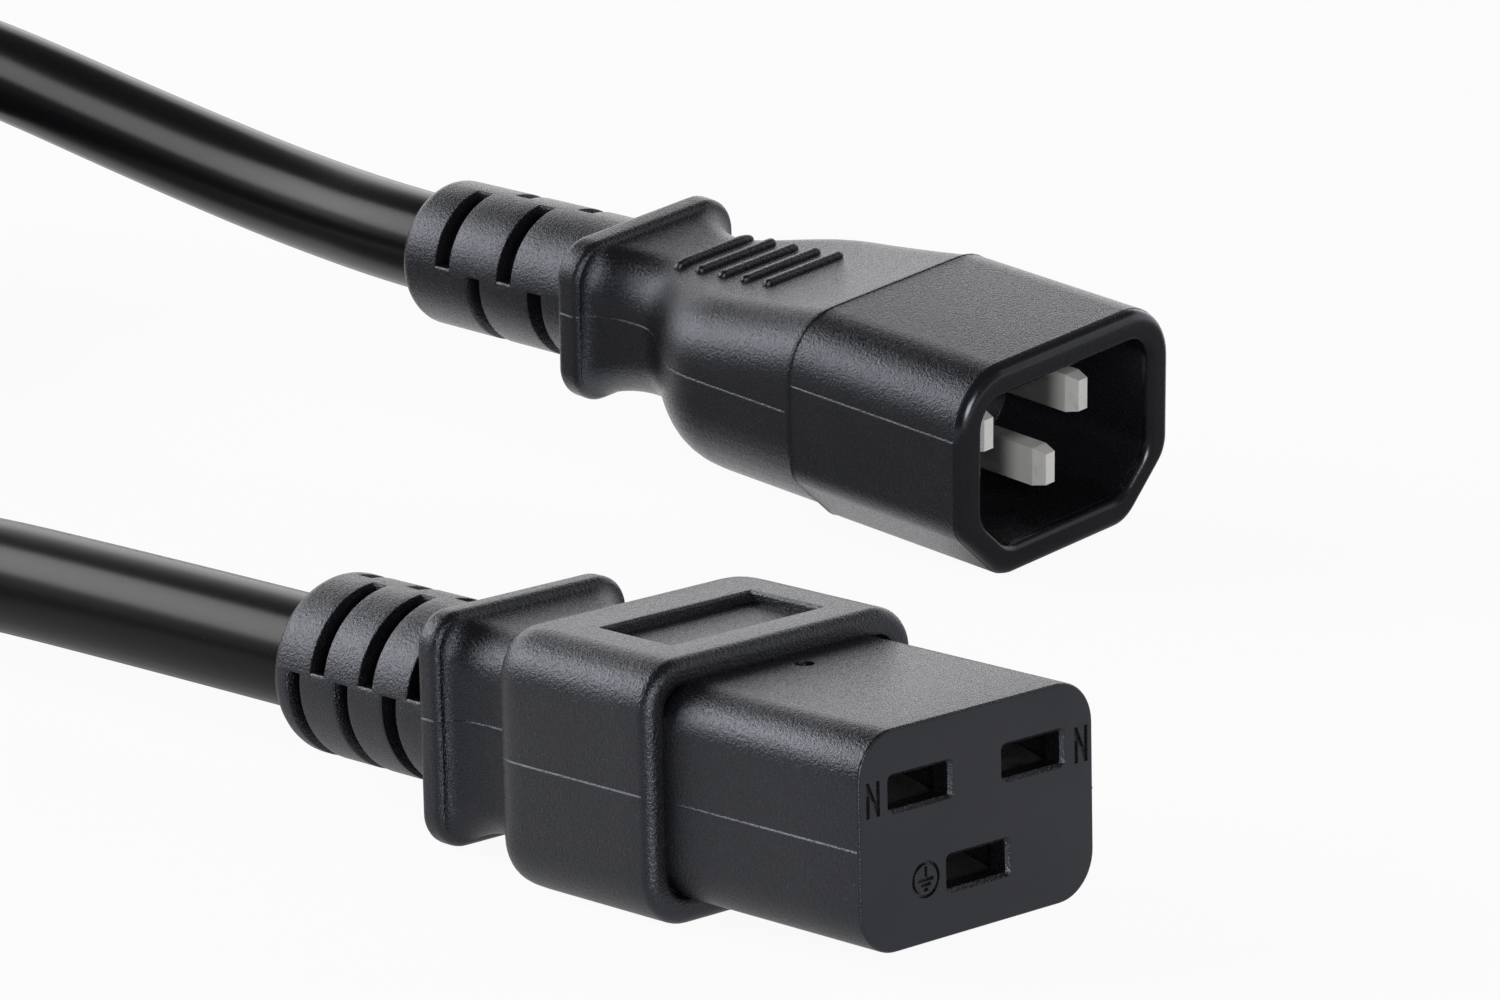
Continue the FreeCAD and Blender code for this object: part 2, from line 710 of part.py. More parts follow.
def lead_routes(female_end, plug_end, plug_outward):
    """The cord's points from each connector to its end of the coil."""
    start, end = coil_heights()
    stub_x = coil_x + coil_stub_length
    near_y = coil_y - coil_radius
    far_y = coil_y + coil_radius
    female = [
        female_end,
        female_end - X_AXIS * (jacket_grip + female_lead_out),
        V(-106, -0.4, 10.2),
        V(-170, near_y, start),
        V(stub_x, near_y, start),
    ]
    lead_out = plug_end + plug_outward * (jacket_grip + plug_lead_out)
    far = [
        plug_end,
        lead_out,
        V(-162, 97, 22.6),
        V(-187, 96.2, 26.8),
        V(-208, far_y + 0.7, 31.1),
        V(-220, far_y, end),
        V(stub_x, far_y, end),
    ]
    return female, far


def report_route(name, points, radii, solid):
    runs = [(b - a).Length for a, b in zip(points, points[1:])]
    path, _ = route_path(points, cord_bend_share)
    ratio = solid.Volume / (math.pi * cord_radius ** 2 * path.Length)
    print(name, "runs", [round(r, 1) for r in runs], "radii", [round(r) for r in radii],
          "length", round(path.Length, 1), "volume ratio", round(ratio, 5))


def build():
    """Every node's solid in the part's frame."""
    nodes = {}
    female_solids, female_end = female_connector()
    female_place = female_placement()
    for name, solid in female_solids.items():
        solid.Placement = female_place.multiply(solid.Placement)
        nodes[name] = solid
    plug_solids, plug_end, plug_outward = plug()
    plug_place = plug_placement(plug_solids["c14_shroud"])
    for name, solid in plug_solids.items():
        solid.Placement = plug_place.multiply(solid.Placement)
        nodes[name] = solid
    female_route, plug_route = lead_routes(female_place.multVec(female_end), plug_place.multVec(plug_end),
                                           plug_place.Rotation.multVec(plug_outward))
    for name, points, mould in (("cord_to_c19", female_route, "c19_overmould"),
                                ("cord_to_c14", plug_route, "c14_overmould")):
        path, radii = route_path(points, cord_bend_share)
        nodes[name] = swept(path, points, cord_radius)
        nodes[mould] = nodes[mould].cut(nodes[name])
        report_route(name, points, radii, nodes[name])
    nodes["cord_coil"] = cord_coil()
    nodes["cord_tie"] = cord_tie()
    return nodes


os.makedirs("parts", exist_ok=True)
for node, shape in build().items():
    solid = shape.Solids[0] if len(shape.Solids) == 1 else shape
    solid.exportStep("parts/" + node + ".step")
    print(node, len(shape.Solids), "solid", round(shape.Volume, 1), "mm3", "valid", shape.isValid())
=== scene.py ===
import json
import math

import bmesh
import bpy
from mathutils import Matrix, Vector


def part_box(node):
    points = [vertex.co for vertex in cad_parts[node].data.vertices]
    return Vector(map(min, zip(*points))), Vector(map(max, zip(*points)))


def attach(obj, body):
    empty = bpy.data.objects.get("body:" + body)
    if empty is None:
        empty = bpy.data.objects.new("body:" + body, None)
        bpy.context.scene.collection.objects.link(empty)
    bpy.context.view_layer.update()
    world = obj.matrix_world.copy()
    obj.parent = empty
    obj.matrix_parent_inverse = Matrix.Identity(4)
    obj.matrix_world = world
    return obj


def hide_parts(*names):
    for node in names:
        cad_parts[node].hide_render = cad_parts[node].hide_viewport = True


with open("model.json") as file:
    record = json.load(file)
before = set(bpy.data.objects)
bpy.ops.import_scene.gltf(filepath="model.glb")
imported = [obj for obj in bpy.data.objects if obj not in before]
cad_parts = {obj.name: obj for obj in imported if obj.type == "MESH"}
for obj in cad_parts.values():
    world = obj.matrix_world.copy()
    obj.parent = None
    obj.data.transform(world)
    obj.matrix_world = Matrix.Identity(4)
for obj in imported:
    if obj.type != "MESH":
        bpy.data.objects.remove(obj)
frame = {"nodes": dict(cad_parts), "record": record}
for name in ("Cube", "Light", "Camera"):
    if name in bpy.data.objects:
        bpy.data.objects.remove(bpy.data.objects[name])
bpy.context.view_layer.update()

# A data-centre power lead, dressed: the camera and studio, the cord as it lies, the moulded shells in
# their full detail, and a finish for every piece. Shells are built in millimetres in their connector's
# own frame (origin at the centre of the mating face, +X out of the mouth) and then placed in the part's.

MM = 0.001

# ---- Female connector (the solids' sizes, with rounder corners on the nose and body) ----------------
NOSE = (27.0, 9.425, -9.425, 4.0, 4.0)          # width, top, bottom, top radius, bottom radius
NOSE_LENGTH = 23.1
NOSE_EDGE = 0.25
WITNESS_X = -6.8                 # an upright mould line on the nose's side
WITNESS_TOP = 5.2
BODY = (31.0, 11.48, -11.48, 4.2, 4.6)
BODY_STRAIGHT = 13.9
BODY_SHOULDER = 9.4
BODY_SHOULDER_LEAN = 2.4
BODY_EDGE = 1.1
NECK = (18.2, 8.2, -10.2, 4.0, 4.0)
NECK_LENGTH = 4.1
COLLAR = (22.5, 9.62, -11.48, 3.2, 3.2)
COLLAR_FLARE = 4.0
COLLAR_INSET = 0.5
COLLAR_THICKNESS = 2.8
COLLAR_EDGE = 0.9
RELIEF = {"length": 23.8, "base": 8.3, "tail": 8.25, "tail_round": 1.6, "slot_width": 1.7,
          "slot_pitch": 6.55, "first_slot": 4.0, "rows": 3, "leading": 1}
RELIEF_DROP = 0.95
RECESS_LENGTH = 8.7
RECESS_WIDTH = 17.1
RECESS_DEPTH = 1.0
RECESS_FROM_FRONT = 4.2
VENT_RADIUS = 0.85               # the small blind hole in the nose's top
VENT_DEPTH = 2.2
VENT_FROM_BODY = 2.8
SLOT_SIZE = (6.8, 2.75)
SLOT_DEPTH = 2.0
CHAMBER_SIZE = (8.2, 4.2)
CHAMBER_END = -29.1
BLADE_PLACES = {"neutral": (-6.5, 3.93), "line": (6.5, 3.93), "earth": (0.0, -4.07)}
BODY_PARTING = 0.3               # height of the mould's parting line
NOSE_PARTING = -0.28
MARK_DEPTH = 0.3                 # of the generic marks on the nose's face
MARK_STROKE = 0.42
EARTH_STROKE = 0.32
LETTERS = ((-11.87, 3.9, 1.57, 3.0), (12.1, 3.75, 1.55, 3.1))    # each N's y, z, width and height
EARTH_MARK = (-6.05, -4.0, 1.42)                # y, z, radius

# ---- Plug (the solids' sizes, with a rounded lip) -----------------------------------------------------
HOOD_WIDTH = 31.2
HOOD_HEIGHT = 22.8
HOOD_LENGTH = 23.2
HOOD_TOP_RADIUS = 6.2
HOOD_CUT_ACROSS = 6.4
HOOD_CUT_UP = 6.4
HOOD_CORNER = 3.6
HOOD_WALL = 3.2
HOOD_LIP = 1.15                  # depth of the rounded lip round the mouth
HOOD_LIP_INSIDE = 0.8
HOOD_LIP_STEP = 0.07             # how far the lip is set in from the shroud's grained side
HOOD_CAVITY = 19.4
HOOD_PARTING = 4.8
PLUG_BODY = (31.0, 11.3, -11.2, 6.2, 10.4)
PLUG_STRAIGHT = 13.0
PLUG_TAPER = 14.5
PLUG_LEAN_IN = 1.3
PLUG_TOP_EASE = 1.5
PLUG_NECK = (17.4, 7.9, -7.6, 5.5, 5.5)
PLUG_FLARE = 6.2
PLUG_COLLAR = (23.4, 9.04, -8.46, 4.0, 4.0)
PLUG_COLLAR_INSET = 0.5
PLUG_COLLAR_THICKNESS = 3.2
PLUG_COLLAR_EDGE = 0.9
PLUG_RELIEF = {"length": 27.8, "base": 7.9, "tail": 7.75, "tail_round": 1.6, "slot_width": 1.95,
               "slot_pitch": 9.3, "first_slot": 7.1, "rows": 2, "leading": -1}
PLUG_SAG = 4.32
PLUG_PARTING = 1.7
RIB_COUNT = 5
RIB_PITCH = 3.15
RIB_LENGTH = 11.5
RIB_WIDTH = 1.15
RIB_RISE = 0.6
FIRST_RIB = 12.8
PLUG_LEAN = 6.7
PLUG_NOSE_DOWN = 7.2
PLUG_HEADING = 3.27

# ---- Both ---------------------------------------------------------------------------------------------
SPINE = 1.2                      # plastic between the slots of the two sides
WEB = 0.4                        # and between the slots above and below the sleeve's parting plane
SLEEVE_PARTING = 1.25            # height of that plane above the sleeve's axis
CORE_WALL = 0.8                  # plastic between the slots and the cord
SLOT_EDGE = 0.22                 # how softly a slot's mouth is rounded
SEAM = 0.16                      # chamfer where two mouldings meet
RIDGE = 0.075                    # how far a parting line stands proud
RIDGE_HALF = 0.135
SMOOTH = 28.0                    # degrees up to which a shell is shaded smooth

# ---- Cord, in metres --------------------------------------------------------------------------------
CORD_DIAMETER = 0.0106
COIL_CENTRE = (-0.266, 0.0415)
COIL_RADIUS = 0.0525
COIL_TURNS = 2.5
COIL_PITCH = 0.0107
COIL_START = 0.00625
POINTS_PER_TURN = 16
TO_FEMALE = [(-0.02155, 0, 0.01053), (-0.06205, 0, 0.01053), (-0.106, -0.0004, 0.0102),
             (-0.170, -0.011, 0.00625), (-0.232, -0.011, 0.00625)]
TO_PLUG = [(-0.232, 0.094, 0.033), (-0.220, 0.094, 0.033), (-0.208, 0.0947, 0.0311),
           (-0.187, 0.0962, 0.0268), (-0.162, 0.097, 0.0226), (-0.13645, 0.09464, 0.02114),
           (-0.11501, 0.09567, 0.02005)]

# ---- Strap, in millimetres --------------------------------------------------------------------------
STRAP_WIDTH = 12.0
STRAP_THICKNESS = 0.75
STRAP_PLAY = 0.35                # between the cord and the strap
STRAP_BEND_STEPS = 11

# ---- Finishes ---------------------------------------------------------------------------------------
PVC_DARK = (0.005, 0.005, 0.006, 1)
PVC_LIGHT = (0.008, 0.008, 0.0095, 1)
PVC_ROUGHNESS = 0.24
SHELL_GRAIN = 0.12               # height of the moulded grain, in millimetres
NOSE_GRAIN = 0.105
HOOD_GRAIN = 0.11
POLISH_EDGE = 0.04               # how far behind the nose's face its polish starts
POLISH_FADE = 0.03
PAINTED_LIGHT_TIP_DEPTH = 8.5             # from the hood's mouth to where the pins begin to turn pale, as painted light towards the mouth
PAINTED_LIGHT_TIP_FADE = 3.2
PAINTED_LIGHT_TIP_SHARE = 0.75            # how much less of a metal mirror a pin's tip is, as painted light


# ---- Placing --------------------------------------------------------------------------------------------
mounts = {m["name"]: m for m in frame["record"]["mounts"]}
female_place = Matrix.Translation(Vector(mounts["mating_face"]["pos_m"])) @ Matrix.Scale(MM, 4)
plug_turn = (Matrix.Rotation(math.radians(PLUG_HEADING), 4, "Z")
             @ Matrix.Rotation(math.radians(PLUG_NOSE_DOWN), 4, "Y")
             @ Matrix.Rotation(math.radians(PLUG_LEAN), 4, "X"))
plug_place = Matrix.Translation(Vector(mounts["plug_engagement"]["pos_m"])) @ plug_turn @ Matrix.Scale(MM, 4)


def mesh_from(name, mesh_data):
    """A mesh from (points, faces), its faces turned outwards."""
    points, faces = mesh_data
    work = bmesh.new()
    corners = [work.verts.new(p) for p in points]
    for face in faces:
        work.faces.new([corners[i] for i in face])
    bmesh.ops.recalc_face_normals(work, faces=work.faces)
    mesh = bpy.data.meshes.new(name)
    work.to_mesh(mesh)
    work.free()
    return mesh


def add_piece(name, mesh_data, place, material, replaced):
    """A piece from (points, faces), placed in the part's frame, shaded smooth up to an angle."""
    mesh = mesh_from(name, mesh_data)
    mesh.transform(place)
    piece = bpy.data.objects.new(name, mesh)
    bpy.context.scene.collection.objects.link(piece)
    shade(piece)
    mesh.materials.append(material)
    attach(piece, "root")
    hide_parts(*replaced)
    return piece


def shade(piece):
    """Shade a piece smooth, but for its sharp edges."""
    piece.data.shade_smooth()
    piece.data.set_sharp_from_angle(angle=math.radians(SMOOTH))


def joined(parts):
    """Several (points, faces) as one."""
    points = []
    faces = []
    for some_points, some_faces in parts:
        start = len(points)
        points += some_points
        faces += [[start + i for i in face] for face in some_faces]
    return points, faces


def lofted(rings):
    """A closed skin over rings of points that all have the same count, with a flat cap at both ends."""
    count = len(rings[0])
    points = [Vector(p) for ring in rings for p in ring]
    faces = [list(range(count))[::-1]]
    for r in range(len(rings) - 1):
        for i in range(count):
            j = (i + 1) % count
            faces.append([r * count + i, r * count + j, (r + 1) * count + j, (r + 1) * count + i])
    faces.append(list(range((len(rings) - 1) * count, len(rings) * count)))
    return points, faces


# ---- Rings ---------------------------------------------------------------------------------------------
# Every ring of a shell has the same points in the same order, on a rounded rectangle or on a circle. The
# crest stops are distances from the middle of the top and bottom, up to the slots' edge, and the side stops
# are distances above and below the parting line: its ridge, then the slots' edge.
CREST_STOPS = (SPINE / 2 - SLOT_EDGE, SPINE / 2 - 0.15, SPINE / 2 - 0.07, SPINE / 2, SPINE / 2 + 0.02)
SIDE_STOPS = (RIDGE_HALF, WEB / 2 - 0.03, WEB / 2, WEB / 2 + 0.02)
RECESS_STOPS = [(RECESS_WIDTH / 2 + step - CREST_STOPS[-1]) / (BODY[0] / 2 - BODY[3] - CREST_STOPS[-1])
                for step in (-0.3, -0.02, 0.0, 0.04, 0.12, 0.3)]
FLAT_STOPS = [0.2, 0.4, 0.58] + RECESS_STOPS + [0.8, 0.9, 1.0]
ARC_STEPS = 12
WALL_STOPS = (0.2, 0.45, 0.7, 1.0)


def quarter_box(half_width, height, radius):
    """Points from (0, height) round to (half_width, 0), both ends left out."""
    flat = half_width - radius
    wall = height - radius
    points = [(s, height) for s in CREST_STOPS]
    points += [(CREST_STOPS[-1] + f * (flat - CREST_STOPS[-1]), height) for f in FLAT_STOPS]
    for k in range(1, ARC_STEPS + 1):
        angle = math.pi / 2 * k / ARC_STEPS
        points.append((flat + radius * math.sin(angle), wall + radius * math.cos(angle)))
    points += [(half_width, wall + f * (SIDE_STOPS[-1] - wall)) for f in WALL_STOPS]
    points += [(half_width, s) for s in reversed(SIDE_STOPS[:-1])]
    return points


def quarter_circle(radius, level):
    """The same points on a circle, from its crest down to a level, as heights above that level."""
    inner = len(FLAT_STOPS) + ARC_STEPS + len(WALL_STOPS)
    first = math.asin(CREST_STOPS[-1] / radius)
    last = math.acos((level + SIDE_STOPS[-1]) / radius)
    points = [(s, math.sqrt(radius ** 2 - s ** 2) - level) for s in CREST_STOPS]
    for k in range(1, inner):
        angle = first + (last - first) * k / inner
        points.append((radius * math.sin(angle), radius * math.cos(angle) - level))
    points += [(math.sqrt(radius ** 2 - (level + s) ** 2), s) for s in reversed(SIDE_STOPS)]
    return points


def whole_ring(top, bottom, top_quarter, bottom_quarter, half_width, middle, ridge):
    """A ring of (y, z) from its quarters: over the top to +Y, under the bottom, and back up at -Y."""
    ring = [(0, top)]
    ring += [(y, middle + z) for y, z in top_quarter]
    ring.append((half_width + ridge, middle))
    ring += [(y, middle - z) for y, z in reversed(bottom_quarter)]
    ring.append((0, bottom))
    ring += [(-y, middle - z) for y, z in bottom_quarter]
    ring.append((-half_width - ridge, middle))
    ring += [(-y, middle + z) for y, z in reversed(top_quarter)]
    return ring


def box_ring(size, middle, ridge=0.0):
    width, top, bottom, top_radius, bottom_radius = size
    above = quarter_box(width / 2, top - middle, top_radius)
    below = quarter_box(width / 2, middle - bottom, bottom_radius)
    return whole_ring(top, bottom, above, below, width / 2, middle, ridge)


def circle_ring(radius):
    """A ring about the origin, with its side points at the sleeve's parting plane."""
    level = SLEEVE_PARTING
    half_width = math.sqrt(radius ** 2 - level ** 2)
    return whole_ring(radius, -radius, quarter_circle(radius, level), quarter_circle(radius, -level),
                      half_width, level, 0)


def at(x, ring):
    return [Vector((x, y, z)) for y, z in ring]


def between(size_a, size_b, share):
    return tuple(a + (b - a) * share for a, b in zip(size_a, size_b))


def inset(size, amount):
    """The same section, smaller all round."""
    width, top, bottom, top_radius, bottom_radius = size
    return (width - 2 * amount, top - amount, bottom + amount,
            max(top_radius - amount, 0.05), max(bottom_radius - amount, 0.05))


def waist(x_start, start_size, x_end, end_size, steps, lean):
    """(x, size) stations of an S-shaped taper, which turns in the later the more it leans."""
    stations = []
    for k in range(steps + 1):
        share = (1 - math.cos(math.pi * (k / steps) ** lean)) / 2
        stations.append((x_start + (x_end - x_start) * k / steps, between(start_size, end_size, share)))
    return stations


def quarter_round(x_start, start_size, x_end, end_size, steps):
    """(x, size) stations of a sweep that is along X where it starts and square to X where it ends."""
    stations = []
    for k in range(steps + 1):
        angle = math.pi / 2 * k / steps
        x = x_start + (x_end - x_start) * math.sin(angle)
        stations.append((x, between(start_size, end_size, 1 - math.cos(angle))))
    return stations


def rim_stations(x_front, thickness, size, edge):
    """(x, size) stations over a plate's rim with both of its edges rounded."""
    steps = 5
    front = quarter_round(x_front - edge, size, x_front, inset(size, edge), steps)
    back_x = x_front - thickness
    back = quarter_round(back_x + edge, size, back_x, inset(size, edge), steps)
    return front[::-1] + back


def softened(gap, edge, depth):
    """How deep a sunk place is at this distance outside its outline, with a rounded edge."""
    if gap >= edge:
        return 0.0
    if gap < 0:
        return depth
    return edge - math.sqrt(edge ** 2 - (edge - gap) ** 2)


# ---- Strain reliefs ----------------------------------------------------------------------------------
def slot_middles(relief, staggered):
    """Distances along the sleeve to the middles of one quarter's slots."""
    shift = relief["slot_pitch"] / 2 if staggered else 0
    return [relief["first_slot"] + shift + row * relief["slot_pitch"] for row in range(relief["rows"])]


def relief_stations(relief):
    """Distances along the sleeve, close together at every slot's edges and round the tail."""
    half = relief["slot_width"] / 2
    stations = {0.0, 0.15}
    for staggered in (False, True):
        for middle in slot_middles(relief, staggered):
            for side in (-1, 1):
                for step in (-0.02, 0.0, 0.35, 0.7, 1.0):
                    reach = half + (step if step < 0 else step * SLOT_EDGE)
                    stations.add(round(middle + side * reach, 4))
            stations.add(round(middle, 4))
    tail = relief["length"] - relief["tail_round"]
    stations = {s for s in stations if s < tail - 0.01}
    for k in range(9):
        stations.add(tail + relief["tail_round"] * math.sin(math.pi / 2 * k / 8))
    return sorted(stations)


def relief_radius(relief, distance):
    share = min(distance / (relief["length"] - relief["tail_round"]), 1)
    radius = relief["base"] + (relief["tail"] - relief["base"]) * share
    past = distance - (relief["length"] - relief["tail_round"])
    if past > 0:
        lean = math.sqrt(max(relief["tail_round"] ** 2 - past ** 2, 0))
        radius -= relief["tail_round"] - lean
    return radius


def relief_rings(relief):
    """The sleeve's rings along -X from the origin, with its staggered grip slots, closed at the tail."""
    cord = CORD_DIAMETER / MM / 2
    core_ring = circle_ring(cord + CORE_WALL)
    rings = []
    for distance in relief_stations(relief):
        outer = relief_radius(relief, distance)
        gaps = {}
        for staggered in (False, True):
            gaps[staggered] = min(abs(distance - m) - relief["slot_width"] / 2
                                  for m in slot_middles(relief, staggered))
        deepest = outer - cord - CORE_WALL
        ring = []
        for (y, z), (core_y, core_z) in zip(circle_ring(outer), core_ring):
            level = z - SLEEVE_PARTING
            staggered = y * level * relief["leading"] > 0
            gap = max(gaps[staggered], SPINE / 2 - abs(y), WEB / 2 - abs(level))
            share = softened(gap, SLOT_EDGE, deepest) / deepest
            ring.append((y + (core_y - y) * share, z + (core_z - z) * share))
        rings.append(at(-distance, ring))
    for depth, radius in ((0.0, cord + 0.45), (0.12, cord + 0.28), (1.0, cord + 0.02)):
        rings.append(at(-relief["length"] + depth, circle_ring(radius)))
    return rings


# ---- Female connector --------------------------------------------------------------------------------
def female_shell():
    """Body, neck, finger collar and slotted strain relief, moulded in one."""
    shoulder_x = -(NOSE_LENGTH + BODY_STRAIGHT)
    neck_x = shoulder_x - BODY_SHOULDER
    flare_x = neck_x - NECK_LENGTH
    collar_x = flare_x - COLLAR_FLARE
    back_x = collar_x - COLLAR_THICKNESS
    recess_x = -NOSE_LENGTH - RECESS_FROM_FRONT - RECESS_LENGTH / 2
    stations = [(-NOSE_LENGTH - 0.9, inset(BODY, 2.6)), (-NOSE_LENGTH - 0.15, inset(BODY, 2.2)),
                (-NOSE_LENGTH - 0.02, inset(BODY, 1.9)), (-NOSE_LENGTH, inset(BODY, 1.75))]
    stations += quarter_round(-NOSE_LENGTH - BODY_EDGE, BODY, -NOSE_LENGTH, inset(BODY, BODY_EDGE), 7)[::-1]
    for side in (1, -1):
        steps = (0.4, 0.2, 0.1, 0.03, 0.0, -0.02, -RECESS_LENGTH / 4)
        stations += [(recess_x + side * (RECESS_LENGTH / 2 + step), BODY) for step in steps[::side]]
    stations += waist(shoulder_x, BODY, neck_x, NECK, 24, BODY_SHOULDER_LEAN)
    stations += [(neck_x - NECK_LENGTH / 2, NECK)]
    stations += quarter_round(flare_x, NECK, collar_x, inset(COLLAR, COLLAR_INSET), 12)
    stations += rim_stations(collar_x, COLLAR_THICKNESS, COLLAR, COLLAR_EDGE)
    rings = []
    for x, size in stations:
        proud = RIDGE if x < -NOSE_LENGTH - BODY_EDGE / 2 else 0
        ring = box_ring(size, BODY_PARTING, proud)
        if x > shoulder_x:
            ring = [(y, z - recess_drop(x - recess_x, y, z)) for y, z in ring]
        rings.append(at(x, ring))
    back = Vector((back_x, 0, -RELIEF_DROP))
    for lift, grow in ((0.0, 0.55), (0.04, 0.3), (0.18, 0.1), (0.4, 0.02)):
        rings.append([p + back for p in at(-lift, circle_ring(RELIEF["base"] + grow))])
    rings += [[p + back for p in ring] for ring in relief_rings(RELIEF) if ring[0].x < -0.5]
    return lofted(rings)


def recess_drop(x, y, z):
    """How deep the bare recess in the body's top is, at x from its middle."""
    if z < BODY[1] - 0.01:
        return 0.0
    gap = max(abs(x) - RECESS_LENGTH / 2, abs(y) - RECESS_WIDTH / 2)
    return softened(gap, 0.3, RECESS_DEPTH)


def slab(x_front, x_rear, y, z, width, height, lean=0.0):
    """A box from x_front to x_rear about (y, z), turned about X by lean."""
    turn = math.radians(lean)
    corners = []
    for a, b in ((-0.5, -0.5), (0.5, -0.5), (0.5, 0.5), (-0.5, 0.5)):
        across = a * width
        up = b * height
        corners.append((y + across * math.cos(turn) - up * math.sin(turn),
                        z + across * math.sin(turn) + up * math.cos(turn)))
    return lofted([at(x_front, corners), at(x_rear, corners)])


def letter_cuts(y, z, width, height):
    """The strokes of an N, as cutters."""
    slope = math.degrees(math.atan2(width - MARK_STROKE, height - MARK_STROKE))
    long_stroke = math.hypot(width - MARK_STROKE, height - MARK_STROKE)
    cuts = [slab(1, -MARK_DEPTH, y + side * (width - MARK_STROKE) / 2, z, MARK_STROKE, height)
            for side in (-1, 1)]
    cuts.append(slab(1, -MARK_DEPTH, y, z, MARK_STROKE, long_stroke, slope))
    return cuts


def earth_cuts(y, z, size):
    """The earth mark: a ring, a stem and three bars, as cutters."""
    cuts = []
    sides = 24
    step = 2 * math.pi * size / sides * 1.1
    for side in range(sides):
        angle = 2 * math.pi * (side + 0.5) / sides
        cuts.append(slab(1, -MARK_DEPTH, y + size * math.cos(angle), z + size * math.sin(angle),
                         EARTH_STROKE, step, math.degrees(angle)))
    cuts.append(slab(1, -MARK_DEPTH, y, z + size * 0.42, EARTH_STROKE, size * 0.75))
    for drop, width in ((0.0, 1.25), (0.3, 0.8), (0.6, 0.35)):
        cuts.append(slab(1, -MARK_DEPTH, y, z - drop * size, width * size, EARTH_STROKE))
    return cuts


def slot_cutter(y, z):
    """A blade slot with a small lead-in, and the chamber behind it."""
    width, height = SLOT_SIZE
    rings = []
    for x, grow in ((0.6, 0.35), (0.0, 0.35), (-0.35, 0.0), (-SLOT_DEPTH, 0.0)):
        rings.append(at(x, rounded_box(y, z, width + 2 * grow, height + 2 * grow, 0.25 + grow)))
    chamber = rounded_box(y, z, CHAMBER_SIZE[0], CHAMBER_SIZE[1], 0.3)
    rings.append(at(-SLOT_DEPTH - 0.001, chamber))
    rings.append(at(CHAMBER_END - 1, chamber))
    return lofted(rings)


def vent_cutter():
    """The small blind hole in the nose's top, by the body."""
    count = 32
    middle_x = VENT_FROM_BODY - NOSE_LENGTH
    angles = [2 * math.pi * k / count for k in range(count)]
    outline = [(middle_x + VENT_RADIUS * math.cos(a), VENT_RADIUS * math.sin(a)) for a in angles]
    return lofted([[Vector((x, y, z)) for x, y in outline] for z in (NOSE[1] - VENT_DEPTH, NOSE[1] + 1)])


def rounded_box(y, z, width, height, radius):
    steps = 5
    points = []
    for a, b, turn in ((1, 1, 0), (-1, 1, 90), (-1, -1, 180), (1, -1, 270)):
        for k in range(steps + 1):
            angle = math.radians(turn + 90 * k / steps)
            points.append((y + a * (width / 2 - radius) + radius * math.cos(angle),
                           z + b * (height / 2 - radius) + radius * math.sin(angle)))
    return points


def carve(piece, cutters):
    """Cut each of these closed meshes out of a piece."""
    for cutter_data in cutters:
        mesh = mesh_from("cutter", cutter_data)
        cutter = bpy.data.objects.new("cutter", mesh)
        bpy.context.scene.collection.objects.link(cutter)
        cut = piece.modifiers.new("cut", "BOOLEAN")
        cut.operation = "DIFFERENCE"
        cut.solver = "EXACT"
        cut.object = cutter
        result = bpy.data.meshes.new_from_object(piece.evaluated_get(bpy.context.evaluated_depsgraph_get()))
        piece.modifiers.remove(cut)
        old = piece.data
        piece.data = result
        bpy.data.meshes.remove(old)
        bpy.data.objects.remove(cutter)
        bpy.data.meshes.remove(mesh)


def witness_line():
    """The mark of a mould insert on the nose's near side: a fine raised line down to the parting line."""
    y = -NOSE[0] / 2
    outline = ((WITNESS_X - RIDGE_HALF, y + 0.1), (WITNESS_X, y - RIDGE), (WITNESS_X + RIDGE_HALF, y + 0.1))
    return lofted([[Vector((x, across, z)) for x, across in outline] for z in (WITNESS_TOP, NOSE_PARTING)])


def nose_shell():
    """The rigid nose before its slots are cut."""
    rings = []
    for x, size, proud in ((CHAMBER_END, inset(NOSE, 1.3), 0), (-NOSE_LENGTH - 0.5, inset(NOSE, 1.3), 0),
                           (-NOSE_LENGTH - 0.4, NOSE, 0), (-NOSE_LENGTH + 0.05, NOSE, RIDGE)):
        rings.append(at(x, box_ring(size, NOSE_PARTING, proud)))
    edge = quarter_round(-NOSE_EDGE, NOSE, 0, inset(NOSE, NOSE_EDGE), 5)
    for x, size in [(-7.0, NOSE)] + edge:
        rings.append(at(x, box_ring(size, NOSE_PARTING, RIDGE if x < -0.1 else 0)))
    return lofted(rings)


# ---- Plug ----------------------------------------------------------------------------------------------
def plug_section(x):
    """The plug body's section at x. Its sides run straight before they turn in, and its top falls all the
    way from the shroud back to the flare."""
    distance = -HOOD_LENGTH - x
    past = min(max(distance - PLUG_STRAIGHT, 0) / PLUG_TAPER, 1)
    size = between(PLUG_BODY, PLUG_NECK, (1 - math.cos(math.pi * past ** PLUG_LEAN_IN)) / 2)
    ahead = max(1 - distance / (PLUG_STRAIGHT + PLUG_TAPER), 0)
    top = PLUG_NECK[1] + (PLUG_BODY[1] - PLUG_NECK[1]) * ahead ** PLUG_TOP_EASE
    return (size[0], top) + size[2:]


def plug_surface(x, y):
    """Height of the plug body's top at (x, y)."""
    width, top, _, radius, _ = plug_section(x)
    over = abs(y) - (width / 2 - radius)
    return top if over <= 0 else top - radius + math.sqrt(max(radius ** 2 - over ** 2, 0))


